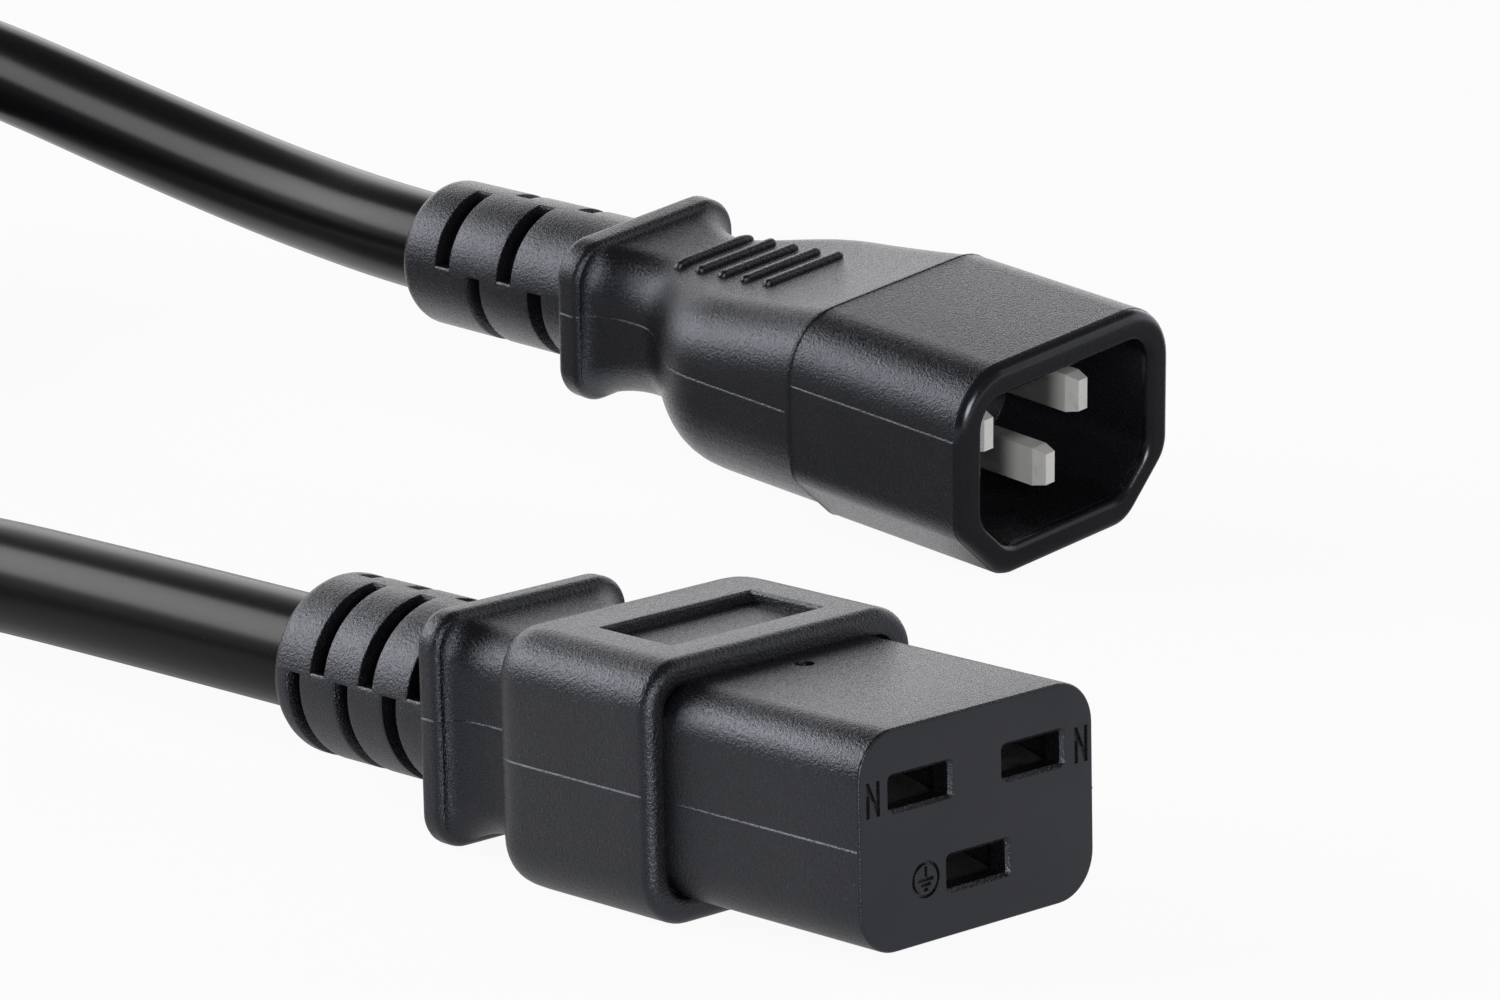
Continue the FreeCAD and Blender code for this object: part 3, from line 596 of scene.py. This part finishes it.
def plug_shell():
    """Tapered body, finger collar and slotted strain relief, moulded in one, with its grip ribs."""
    front_x = -HOOD_LENGTH
    flare_x = front_x - PLUG_STRAIGHT - PLUG_TAPER
    collar_x = flare_x - PLUG_FLARE
    back_x = collar_x - PLUG_COLLAR_THICKNESS
    stations = [(front_x, inset(PLUG_BODY, SEAM)), (front_x - SEAM * 0.4, inset(PLUG_BODY, SEAM * 0.3))]
    steps = 40
    for k in range(steps + 1):
        x = min(front_x - (PLUG_STRAIGHT + PLUG_TAPER) * k / steps, front_x - SEAM)
        stations.append((x, plug_section(x)))
    stations += quarter_round(flare_x, PLUG_NECK, collar_x, inset(PLUG_COLLAR, PLUG_COLLAR_INSET), 14)[1:]
    stations += rim_stations(collar_x, PLUG_COLLAR_THICKNESS, PLUG_COLLAR, PLUG_COLLAR_EDGE)
    rings = [at(x, box_ring(size, PLUG_PARTING, RIDGE if x < front_x - SEAM else 0)) for x, size in stations]
    sag = Matrix.Translation(Vector((back_x, 0, 0))) @ Matrix.Rotation(math.radians(-PLUG_SAG), 4, "Y")
    rings += [[sag @ p for p in ring] for ring in relief_rings(PLUG_RELIEF)]
    return joined([lofted(rings)] + [rib(k) for k in range(RIB_COUNT)])


def rib(k):
    """One grip rib: a rounded bar across the body's top, rounded off at both ends."""
    x_middle = -HOOD_LENGTH - FIRST_RIB - k * RIB_PITCH
    half = RIB_WIDTH / 2
    rings = []
    lengths = [math.cos(math.pi * i / 28) for i in range(29)]
    for share in lengths:
        y = share * RIB_LENGTH / 2
        past = max(abs(y) - (RIB_LENGTH / 2 - half), 0)
        reach = max(math.sqrt(max(half ** 2 - past ** 2, 0)), 0.02)
        ring = []
        for j in range(13):
            angle = math.pi * j / 12
            bulge = math.sin(angle) ** 0.6
            x = x_middle + reach * math.cos(angle)
            ring.append(Vector((x, y, plug_surface(x, y) - 0.15 + (RIB_RISE + 0.13) * bulge * reach / half)))
        ring.append(Vector((x_middle - reach, y, plug_surface(x_middle, y) - 0.9)))
        ring.append(Vector((x_middle + reach, y, plug_surface(x_middle, y) - 0.9)))
        rings.append(ring)
    return lofted(rings)


def hood_outline(amount):
    """The shroud's outline, inset: square above, with its lower corners cut off."""
    half_width = HOOD_WIDTH / 2 - amount
    half_height = HOOD_HEIGHT / 2 - amount
    slope = math.atan2(HOOD_CUT_UP, HOOD_CUT_ACROSS)
    across = HOOD_CUT_ACROSS - amount * math.tan((math.pi / 2 - slope) / 2)
    across = across - amount * math.tan(slope / 2) * HOOD_CUT_ACROSS / HOOD_CUT_UP
    up = across * HOOD_CUT_UP / HOOD_CUT_ACROSS
    top = max(HOOD_TOP_RADIUS - amount, 0.8)
    ridge = RIDGE if amount < 0.1 else 0
    corners = [((half_width, half_height), top), ((-half_width, half_height), top),
               ((-half_width, up - half_height), HOOD_CORNER),
               ((across - half_width, -half_height), HOOD_CORNER),
               ((half_width - across, -half_height), HOOD_CORNER),
               ((half_width, up - half_height), HOOD_CORNER)]
    points = []
    for i, (spot, radius) in enumerate(corners):
        corner = Vector(spot)
        back = (Vector(corners[i - 1][0]) - corner).normalized()
        ahead = (Vector(corners[(i + 1) % len(corners)][0]) - corner).normalized()
        half_angle = back.angle(ahead) / 2
        centre = corner + (back + ahead).normalized() * (radius / math.sin(half_angle))
        first = corner + back * (radius / math.tan(half_angle)) - centre
        last = corner + ahead * (radius / math.tan(half_angle)) - centre
        steps = 10 if i < 2 else 7
        for k in range(steps + 1):
            points.append(tuple(centre + first.slerp(last, k / steps).normalized() * radius))
        if i == 1 or i == 5:
            side = -1 if i == 1 else 1
            order = (RIDGE_HALF, 0, -RIDGE_HALF) if i == 1 else (-RIDGE_HALF, 0, RIDGE_HALF)
            for z in order:
                points.append((side * (half_width + (ridge if z == 0 else 0)), HOOD_PARTING + z))
    return points


def hood_shell():
    """The shroud: outside, rounded lip, cavity walls and floor in one skin."""
    rings = [at(-HOOD_LENGTH, hood_outline(SEAM)), at(-HOOD_LENGTH + SEAM * 0.4, hood_outline(SEAM * 0.3)),
             at(-HOOD_LENGTH + SEAM, hood_outline(-RIDGE)), at(-HOOD_LENGTH + 0.3, hood_outline(0)),
             at(-HOOD_LENGTH + 0.4, hood_outline(0)), at(-HOOD_LIP - 0.2, hood_outline(0)),
             at(-HOOD_LIP - 0.05, hood_outline(0)),
             at(-HOOD_LIP, hood_outline(HOOD_LIP_STEP))]
    steps = 6
    for k in range(1, steps + 1):
        angle = math.pi / 2 * k / steps
        amount = HOOD_LIP_STEP + HOOD_LIP * (1 - math.cos(angle))
        rings.append(at(HOOD_LIP * (math.sin(angle) - 1), hood_outline(amount)))
    for k in range(steps + 1):
        angle = math.pi / 2 * k / steps
        amount = HOOD_WALL - HOOD_LIP_INSIDE * (1 - math.sin(angle))
        rings.append(at(HOOD_LIP_INSIDE * (math.cos(angle) - 1), hood_outline(amount)))
    for x, amount in ((-HOOD_CAVITY + 0.4, HOOD_WALL), (-HOOD_CAVITY + 0.1, HOOD_WALL + 0.1),
                      (-HOOD_CAVITY, HOOD_WALL + 0.4)):
        rings.append(at(x, hood_outline(amount)))
    return lofted(rings)


# ---- Finishes --------------------------------------------------------------------------------------------
class Signal:
    """A value in a finish's nodes, which can be used in sums."""

    def __init__(self, finish, socket):
        self.finish = finish
        self.socket = socket

    def _sum(self, operation, first, second):
        return self.finish.node("ShaderNodeMath", {"operation": operation}, {0: first, 1: second})

    def __add__(self, other):
        return self._sum("ADD", self, other)

    def __radd__(self, other):
        return self._sum("ADD", other, self)

    def __sub__(self, other):
        return self._sum("SUBTRACT", self, other)

    def __rsub__(self, other):
        return self._sum("SUBTRACT", other, self)

    def __mul__(self, other):
        return self._sum("MULTIPLY", self, other)

    def over(self, low, high):
        """0 below low, 1 above high, and smooth between."""
        return self.finish.node("ShaderNodeMapRange", {"interpolation_type": "SMOOTHSTEP"},
                                {"Value": self, "From Min": low, "From Max": high})

    def largest(self, other):
        return self._sum("MAXIMUM", self, other)


class Finish:
    """A material's or the world's nodes."""

    def __init__(self, owner):
        owner.use_nodes = True
        self.owner = owner
        self.tree = owner.node_tree
        self.tree.nodes.clear()

    def node(self, kind, settings=None, values=None, output=0):
        made = self.tree.nodes.new(kind)
        for name, value in (settings or {}).items():
            setattr(made, name, value)
        for name, value in (values or {}).items():
            if isinstance(value, Signal):
                self.tree.links.new(value.socket, made.inputs[name])
            else:
                made.inputs[name].default_value = value
        return Signal(self, made.outputs[output])

    def place(self):
        """Object coordinates in millimetres."""
        spot = self.node("ShaderNodeTexCoord", output=3)
        return self.node("ShaderNodeVectorMath", {"operation": "SCALE"}, {0: spot, "Scale": 1 / MM}, 0)

    def noise(self, where, scale, detail=2.0, roughness=0.5):
        return self.node("ShaderNodeTexNoise", {}, {"Vector": where, "Scale": scale, "Detail": detail,
                                                    "Roughness": roughness})

    def stretched(self, where, scale):
        return self.node("ShaderNodeVectorMath", {"operation": "MULTIPLY"}, {0: where, 1: scale})

    def blend(self, share, colour_a, colour_b):
        return self.node("ShaderNodeMix", {"data_type": "RGBA"},
                         {0: share, 6: colour_a, 7: colour_b}, 2)

    def along(self, where, direction):
        """How far a place lies along a direction."""
        return self.node("ShaderNodeVectorMath", {"operation": "DOT_PRODUCT"}, {0: where, 1: direction}, 1)

    def bump(self, height, distance):
        return self.node("ShaderNodeBump", {}, {"Height": height, "Distance": distance, "Strength": 1.0})

    def surface(self, **values):
        """The finish's Principled shader, joined to the output."""
        inputs = {name.replace("_", " "): value for name, value in values.items()}
        self.show(self.node("ShaderNodeBsdfPrincipled", {}, inputs))

    def show(self, shader):
        """Join a shader to the material's or the world's output."""
        is_world = isinstance(self.owner, bpy.types.World)
        output = self.tree.nodes.new("ShaderNodeOutputWorld" if is_world else "ShaderNodeOutputMaterial")
        self.tree.links.new(shader.socket, output.inputs["Surface"])


def new_finish(name):
    return Finish(bpy.data.materials.new(name))


def grained_pvc(name, grain, mouth=None):
    """Black moulded PVC with a fine spark-eroded grain. The mouth, which is polished, is its direction
    and how far along that from the origin it starts, in millimetres."""
    finish = new_finish(name)
    where = finish.place()
    fine = finish.noise(where, 3.6, 3.0, 0.6)
    pits = finish.noise(where, 8.5, 2.0, 0.5)
    cloud = finish.noise(where, 0.12, 3.0)
    scuff = finish.noise(finish.stretched(where, (0.25, 1.1, 1.1)), 0.5, 4.0, 0.65).over(0.56, 0.72)
    tone = (cloud * 0.6 + fine * 0.4).over(0.3, 0.7)
    height = fine * 0.65 + pits * 0.35
    if mouth:
        direction, start = mouth
        height = height * (1 - finish.along(where, direction).over(start, start + POLISH_FADE))
    finish.surface(
        Base_Color=finish.blend(tone, PVC_DARK, PVC_LIGHT),
        Roughness=PVC_ROUGHNESS + (fine - 0.5) * 0.3 - scuff * 0.04,
        Specular_IOR_Level=0.8,
        Specular_Tint=(0.84, 0.87, 1, 1),
        Normal=finish.bump(height, grain * MM))
    return finish.owner


def cord_finish():
    """Extruded PVC jacket: smoother and shinier, with faint draw lines and a slight waviness."""
    finish = new_finish("cord_jacket")
    where = finish.place()
    wave = finish.noise(where, 0.09, 2.0)
    fine = finish.noise(where, 4.0, 2.0, 0.5)
    dust = finish.noise(where, 1.6, 4.0, 0.7).over(0.62, 0.75)
    finish.surface(
        Base_Color=finish.blend(dust, (0.005, 0.005, 0.006, 1), (0.009, 0.009, 0.01, 1)),
        Roughness=0.24 + (fine - 0.5) * 0.08 + dust * 0.07,
        Specular_IOR_Level=0.22,
        Normal=finish.bump(wave * 0.85 + fine * 0.15, 0.02 * MM))
    return finish.owner


def metal_finish(name, colour, stain, roughness, wear_scale, painted_light_tip=None):
    """Plated or plain metal with drawing lines along the piece and a little tarnish. The tip, which is
    paler and less of a mirror as painted light for the light at the shroud's mouth, is its direction and
    how far along that from the origin it starts."""
    finish = new_finish(name)
    where = finish.place()
    lines = finish.noise(finish.stretched(where, (0.15, 3.0, 3.0)), 2.0, 3.0)
    tarnish = finish.noise(where, wear_scale, 4.0, 0.6).over(0.5, 0.75)
    metallic = 1.0
    if painted_light_tip:
        direction, start = painted_light_tip
        # painted light: towards the mouth the pins are made less metallic, so their tips show paler, standing
        # in for the light that reaches them there
        metallic = 1 - finish.along(where, direction).over(start, start + PAINTED_LIGHT_TIP_FADE) * PAINTED_LIGHT_TIP_SHARE
    finish.surface(
        Base_Color=finish.blend(tarnish * 0.5, colour, stain),
        Metallic=metallic,
        Roughness=roughness + (lines - 0.5) * 0.16 + tarnish * 0.1,
        Normal=finish.bump(lines, 0.006 * MM))
    return finish.owner


def insulation_finish(name, colour, shade_colour):
    """Smooth PVC core insulation, slightly mottled."""
    finish = new_finish(name)
    where = finish.place()
    mottle = finish.noise(where, 0.8, 3.0)
    finish.surface(
        Base_Color=finish.blend(mottle.over(0.35, 0.65), shade_colour, colour),
        Roughness=0.42 + (mottle - 0.5) * 0.1,
        Normal=finish.bump(mottle, 0.01 * MM))
    return finish.owner


def earth_finish():
    """Green insulation with a yellow stripe along each side."""
    finish = new_finish("earth_insulation")
    where = finish.place()
    stripe = finish.node("ShaderNodeTexWave", {"wave_type": "BANDS", "bands_direction": "DIAGONAL"},
                         {"Vector": finish.stretched(where, (0.02, 1.0, 1.0)), "Scale": 0.32,
                          "Distortion": 0.1}, 1)
    mottle = finish.noise(where, 0.8, 3.0)
    finish.surface(
        Base_Color=finish.blend(stripe.over(0.45, 0.5), (0.03, 0.2, 0.05, 1), (0.72, 0.55, 0.03, 1)),
        Roughness=0.42 + (mottle - 0.5) * 0.1,
        Normal=finish.bump(mottle, 0.01 * MM))
    return finish.owner


def strap_finish():
    """Woven hook-and-loop strap."""
    finish = new_finish("strap")
    where = finish.place()
    weave = finish.node("ShaderNodeTexWave", {"bands_direction": "Z"},
                        {"Vector": where, "Scale": 1.6, "Distortion": 1.2, "Detail": 2.0}, 1)
    fuzz = finish.noise(where, 4.0, 4.0, 0.7)
    finish.surface(
        Base_Color=finish.blend(weave * 0.6 + fuzz * 0.4, (0.01, 0.01, 0.011, 1), (0.035, 0.035, 0.038, 1)),
        Roughness=0.9 - fuzz * 0.1,
        Normal=finish.bump(weave * 0.5 + fuzz * 0.5, 0.12 * MM))
    return finish.owner


def behind_mouth(place, depth):
    """The direction of a connector's mouth, and how far along it lies a place this far behind the mouth."""
    direction = place.to_3x3() @ Vector((1, 0, 0))
    direction.normalize()
    return direction, direction.dot(place.translation) / MM - depth


shell_finish = grained_pvc("moulded_pvc", SHELL_GRAIN)
nose_finish = grained_pvc("carrier_plastic", NOSE_GRAIN, behind_mouth(female_place, POLISH_EDGE))
hood_finish = grained_pvc("shroud_plastic", HOOD_GRAIN, behind_mouth(plug_place, HOOD_LIP))
jacket_finish = cord_finish()
finishes = {
    "tinned_brass": metal_finish("tinned_brass", (0.6, 0.6, 0.6, 1), (0.36, 0.35, 0.33, 1), 0.3, 0.6),
    # the pins carry painted light: their tips are made paler towards the shroud's mouth
    "pin_nickel": metal_finish("pin_nickel", (0.95, 0.94, 0.92, 1), (0.55, 0.53, 0.5, 1), 0.42, 0.4,
                               behind_mouth(plug_place, PAINTED_LIGHT_TIP_DEPTH)),
    "copper": metal_finish("copper", (0.86, 0.44, 0.28, 1), (0.5, 0.2, 0.1, 1), 0.35, 0.9),
    "neutral_insulation": insulation_finish("neutral_insulation", (0.03, 0.09, 0.35, 1),
                                            (0.02, 0.06, 0.27, 1)),
    "line_insulation": insulation_finish("line_insulation", (0.12, 0.05, 0.022, 1), (0.08, 0.032, 0.014, 1)),
    "earth_insulation": earth_finish(),
}


# ---- Pieces --------------------------------------------------------------------------------------------
def cord_points():
    """The cord's control points: female end, coil, plug end."""
    step = 2 * math.pi / POINTS_PER_TURN
    control = COIL_RADIUS / math.cos(step / 2)
    count = round(COIL_TURNS * POINTS_PER_TURN)
    rise = COIL_TURNS * COIL_PITCH
    points = list(TO_FEMALE)
    lead = COIL_CENTRE[0] + control * math.sin(step / 2)
    points.append((lead, COIL_CENTRE[1] - COIL_RADIUS, COIL_START))
    for k in range(count):
        angle = -math.pi / 2 - (k + 0.5) * step
        points.append((COIL_CENTRE[0] + control * math.cos(angle), COIL_CENTRE[1] + control * math.sin(angle),
                       COIL_START + rise * (k + 0.5) / count))
    points.append((lead, COIL_CENTRE[1] + COIL_RADIUS, COIL_START + rise))
    return points + TO_PLUG


def lay_cord():
    """The cord as one smooth curve from the female connector through its coil to the plug."""
    curve = bpy.data.curves.new("cord", "CURVE")
    curve.dimensions = "3D"
    spline = curve.splines.new("NURBS")
    points = cord_points()
    spline.points.add(len(points) - 1)
    for point, place in zip(spline.points, points):
        point.co = (*place, 1)
    spline.order_u = 3
    spline.use_endpoint_u = True
    curve.resolution_u = 10
    curve.bevel_depth = CORD_DIAMETER / 2
    curve.bevel_resolution = 10
    curve.use_fill_caps = True
    cord = bpy.data.objects.new("cord", curve)
    bpy.context.scene.collection.objects.link(cord)
    curve.materials.append(jacket_finish)
    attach(cord, "root")
    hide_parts("cord_to_c19", "cord_coil", "cord_to_c14")
    return cord


def strap():
    """The tie round the bundle: a thin closed band with rounded edges."""
    low, high = (Vector(corner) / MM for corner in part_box("cord_tie"))
    radius = CORD_DIAMETER / MM / 2 + STRAP_PLAY
    middle_x = (COIL_CENTRE[0] - COIL_RADIUS) / MM
    bottom = low.z + radius + STRAP_THICKNESS
    top = high.z - radius - STRAP_THICKNESS
    line = []
    for height, start in ((bottom, math.pi), (top, 0.0)):
        for k in range(STRAP_BEND_STEPS + 1):
            angle = start + math.pi * k / STRAP_BEND_STEPS
            line.append((middle_x + radius * math.cos(angle), height + radius * math.sin(angle),
                         math.cos(angle), math.sin(angle)))
    outline = []
    for across, out in ((-1, 0.15), (-0.985, 0), (0.985, 0), (1, 0.15), (1, 0.85), (0.985, 1),
                        (-0.985, 1), (-1, 0.85)):
        outline.append((across * STRAP_WIDTH / 2, out * STRAP_THICKNESS))
    rings = []
    for x, z, out_x, out_z in line:
        rings.append([Vector((x + out_x * out, COIL_CENTRE[1] / MM + across, z + out_z * out))
                      for across, out in outline])
    count = len(outline)
    points = [p for ring in rings for p in ring]
    faces = []
    for r in range(len(rings)):
        for i in range(count):
            j = (i + 1) % count
            s = (r + 1) % len(rings)
            faces.append([r * count + i, r * count + j, s * count + j, s * count + i])
    return points, faces


cord = lay_cord()
plug_shell_piece = add_piece("plug_shell", plug_shell(), plug_place, shell_finish,
                             ["c14_overmould"])
hood_piece = add_piece("plug_shroud", hood_shell(), plug_place, hood_finish,
                       ["c14_shroud"])
add_piece("connector_shell", female_shell(), female_place, shell_finish, ["c19_overmould"])
# The nose is cut in its own frame, and placed after that.
nose_piece = add_piece("connector_nose", joined([nose_shell(), witness_line()]), Matrix.Identity(4),
                       nose_finish, ["c19_contact_carrier"])
cuts = [slot_cutter(y, z) for y, z in BLADE_PLACES.values()]
cuts.append(vent_cutter())
for letter in LETTERS:
    cuts += letter_cuts(*letter)
cuts += earth_cuts(*EARTH_MARK)
carve(nose_piece, cuts)
nose_piece.data.transform(female_place)
shade(nose_piece)
tie_piece = add_piece("cord_strap", strap(), Matrix.Scale(MM, 4), strap_finish(), ["cord_tie"])

for kind in ("neutral", "line", "earth"):
    for node, finish in (("c19_contact_" + kind, "tinned_brass"), ("c14_pin_" + kind, "pin_nickel"),
                         ("c19_conductor_" + kind, "copper"), ("c14_conductor_" + kind, "copper"),
                         ("c19_core_" + kind, kind + "_insulation"),
                         ("c14_core_" + kind, kind + "_insulation")):
        piece = frame["nodes"][node]
        if not piece.material_slots:
            piece.data.materials.append(None)
        for place in piece.material_slots:
            place.material = finishes[finish]


# ---- Camera and studio -------------------------------------------------------------------------------
CAMERA_AZIMUTH = 47.08689
CAMERA_ELEVATION = 13.35239
CAMERA_ROLL = -1.242453
CAMERA_OFFSET = (0.018648895, -0.025947856, 0.610293518)   # of the mating face's centre in its view
CAMERA_LENS = 179.06
SENSOR_WIDTH = 36.0
BACKDROP_TOWARD = (-0.68, 0.73, 0)
BACKDROP_SIDE = (-0.1, 0.35)     # its soft edge, and the upper one's height and softness
BACKDROP_TOP = 0.6
BACKDROP_FADE = 0.12
BACKDROP_LEVEL = 1.0
ROOM_LEVEL = 0.08
FLOOR_DIM = 0.12                 # the floor as a mirror sees it, and its lighter places, which are painted pools of light
FLOOR_NEAR = 0.45
FLOOR_WHITE = 0.94               # how much of the floor the camera sees as plain white, without shadow
FLOOR_MIRRORED = 0.85            # how much of it a mirror sees as the painted pools of light on the darker floor, without shadow
WHITE = (1, 1, 1, 1)
PAPER = (0.86, 0.86, 0.86, 1)
FLOOR_HALF_SIZE = 4.0
LAMP_AIM = (-0.02, 0.05, 0.01)                  # the middle of the part
LAMP_DISTANCE = 1.5
LAMPS = (("left_softbox", (-0.712, -0.505, 0.487), (1.2, 0.72), 4.6),       # direction, size, brightness
         ("back_softbox", (-0.68, 0.70, 0.30), (1.8, 0.66), 0.7),
         ("front_fill", (0.9, -0.42, 0.2), (0.8, 0.6), 8.0))
# The soft edges, in metres from the origin, of the pools of light painted on the floor, which only a mirror
# sees
AHEAD_X = (0.0, 0.03)
BEHIND_X = (-0.13, -0.09)
OUTER_SIDE_Y = (-0.035, -0.012)
INNER_SIDE_Y = (0.035, 0.055)
PAINTED_POOL_X = (-0.06, -0.045)
PAINTED_POOL_Y = (0.077, 0.087)


def set_camera():
    """The photograph's viewpoint."""
    azimuth = math.radians(CAMERA_AZIMUTH)
    elevation = math.radians(CAMERA_ELEVATION)
    roll = math.radians(CAMERA_ROLL)
    back = Vector((math.sin(azimuth) * math.cos(elevation), -math.cos(azimuth) * math.cos(elevation),
                   math.sin(elevation)))
    level = Vector((math.cos(azimuth), math.sin(azimuth), 0))
    upright = back.cross(level)
    right = level * math.cos(roll) + upright * math.sin(roll)
    up = upright * math.cos(roll) - level * math.sin(roll)
    across, above, away = CAMERA_OFFSET
    place = Vector(mounts["mating_face"]["pos_m"]) - right * across - up * above + back * away
    camera_data = bpy.data.cameras.new("camera")
    camera_data.lens = CAMERA_LENS
    camera_data.sensor_width = SENSOR_WIDTH
    camera_data.clip_start = 0.01
    camera_data.clip_end = 50
    camera = bpy.data.objects.new("camera", camera_data)
    bpy.context.scene.collection.objects.link(camera)
    camera.matrix_world = Matrix((
        (right.x, up.x, back.x, place.x),
        (right.y, up.y, back.y, place.y),
        (right.z, up.z, back.z, place.z),
        (0, 0, 0, 1)))
    bpy.context.scene.camera = camera


def soft_lamp(name, direction, size, level):
    """A softbox of this brightness, aimed at the middle of the part."""
    lamp_data = bpy.data.lights.new(name, "AREA")
    lamp_data.shape = "RECTANGLE"
    lamp_data.size, lamp_data.size_y = size
    lamp_data.energy = level * math.pi * size[0] * size[1]
    lamp = bpy.data.objects.new(name, lamp_data)
    bpy.context.scene.collection.objects.link(lamp)
    away = Vector(direction).normalized()
    lamp.location = Vector(LAMP_AIM) + away * LAMP_DISTANCE
    lamp.rotation_mode = "QUATERNION"
    lamp.rotation_quaternion = away.to_track_quat("Z", "Y")


def seen(finish):
    """1 where a ray comes from the camera, and 1 where it comes off a mirror or through glass."""
    path = finish.tree.nodes.new("ShaderNodeLightPath")
    camera, glossy, clear = (Signal(finish, path.outputs[name])
                             for name in ("Is Camera Ray", "Is Glossy Ray", "Is Transmission Ray"))
    return camera, glossy.largest(clear)


def set_world():
    """A white backdrop behind the part, in a dim room."""
    world = bpy.data.worlds.new("studio")
    bpy.context.scene.world = world
    finish = Finish(world)
    camera_ray, mirror_ray = seen(finish)
    toward = finish.node("ShaderNodeTexCoord", output=0)
    across = finish.along(toward, BACKDROP_TOWARD)
    upward = finish.along(toward, (0, 0, 1))
    backdrop = across.over(*BACKDROP_SIDE) * (1 - upward.over(BACKDROP_TOP - BACKDROP_FADE, BACKDROP_TOP))
    glow = ROOM_LEVEL + backdrop * (BACKDROP_LEVEL - ROOM_LEVEL)
    share = camera_ray.largest(mirror_ray * backdrop)
    strength = glow * (1 - share) + share
    finish.show(finish.node("ShaderNodeBackground", {}, {"Color": WHITE, "Strength": strength}))


def set_floor():
    """White paper that keeps the part's shadow, and shows a mirror a darker floor with painted pools of
    light.
    """
    size = FLOOR_HALF_SIZE
    mesh = bpy.data.meshes.new("floor")
    mesh.from_pydata([(-size, -size, 0), (size, -size, 0), (size, size, 0), (-size, size, 0)], [],
                     [[0, 1, 2, 3]])
    floor = bpy.data.objects.new("floor", mesh)
    bpy.context.scene.collection.objects.link(floor)
    finish = new_finish("floor_paper")
    camera_ray, mirror_ray = seen(finish)
    paper = finish.node("ShaderNodeBsdfDiffuse", {}, {"Color": PAPER})
    spot = finish.node("ShaderNodeTexCoord", output=3)
    along_x = finish.along(spot, (1, 0, 0))
    along_y = finish.along(spot, (0, 1, 0))
    # painted light: pools of light painted on the floor near the parts and under the plug, which only a
    # mirror sees, so the shells show painted reflections
    beside = along_x.over(*BEHIND_X).largest(along_y.over(*OUTER_SIDE_Y))
    near = along_x.over(*AHEAD_X).largest(beside * (1 - along_y.over(*INNER_SIDE_Y)))
    painted_pool = along_y.over(*PAINTED_POOL_Y) * (1 - along_x.over(*PAINTED_POOL_X))
    mirrored = finish.blend((near * FLOOR_NEAR).largest(painted_pool), (FLOOR_DIM, FLOOR_DIM, FLOOR_DIM, 1), WHITE)
    colour = finish.blend(camera_ray, mirrored, WHITE)
    glow = finish.node("ShaderNodeEmission", {}, {"Color": colour, "Strength": 1.0})
    share = (camera_ray * FLOOR_WHITE).largest(mirror_ray * FLOOR_MIRRORED)
    finish.show(finish.node("ShaderNodeMixShader", {}, {0: share, 1: paper, 2: glow}))
    mesh.materials.append(finish.owner)


set_camera()
set_world()
set_floor()
for lamp in LAMPS:
    soft_lamp(*lamp)
bpy.context.scene.view_settings.view_transform = "Standard"
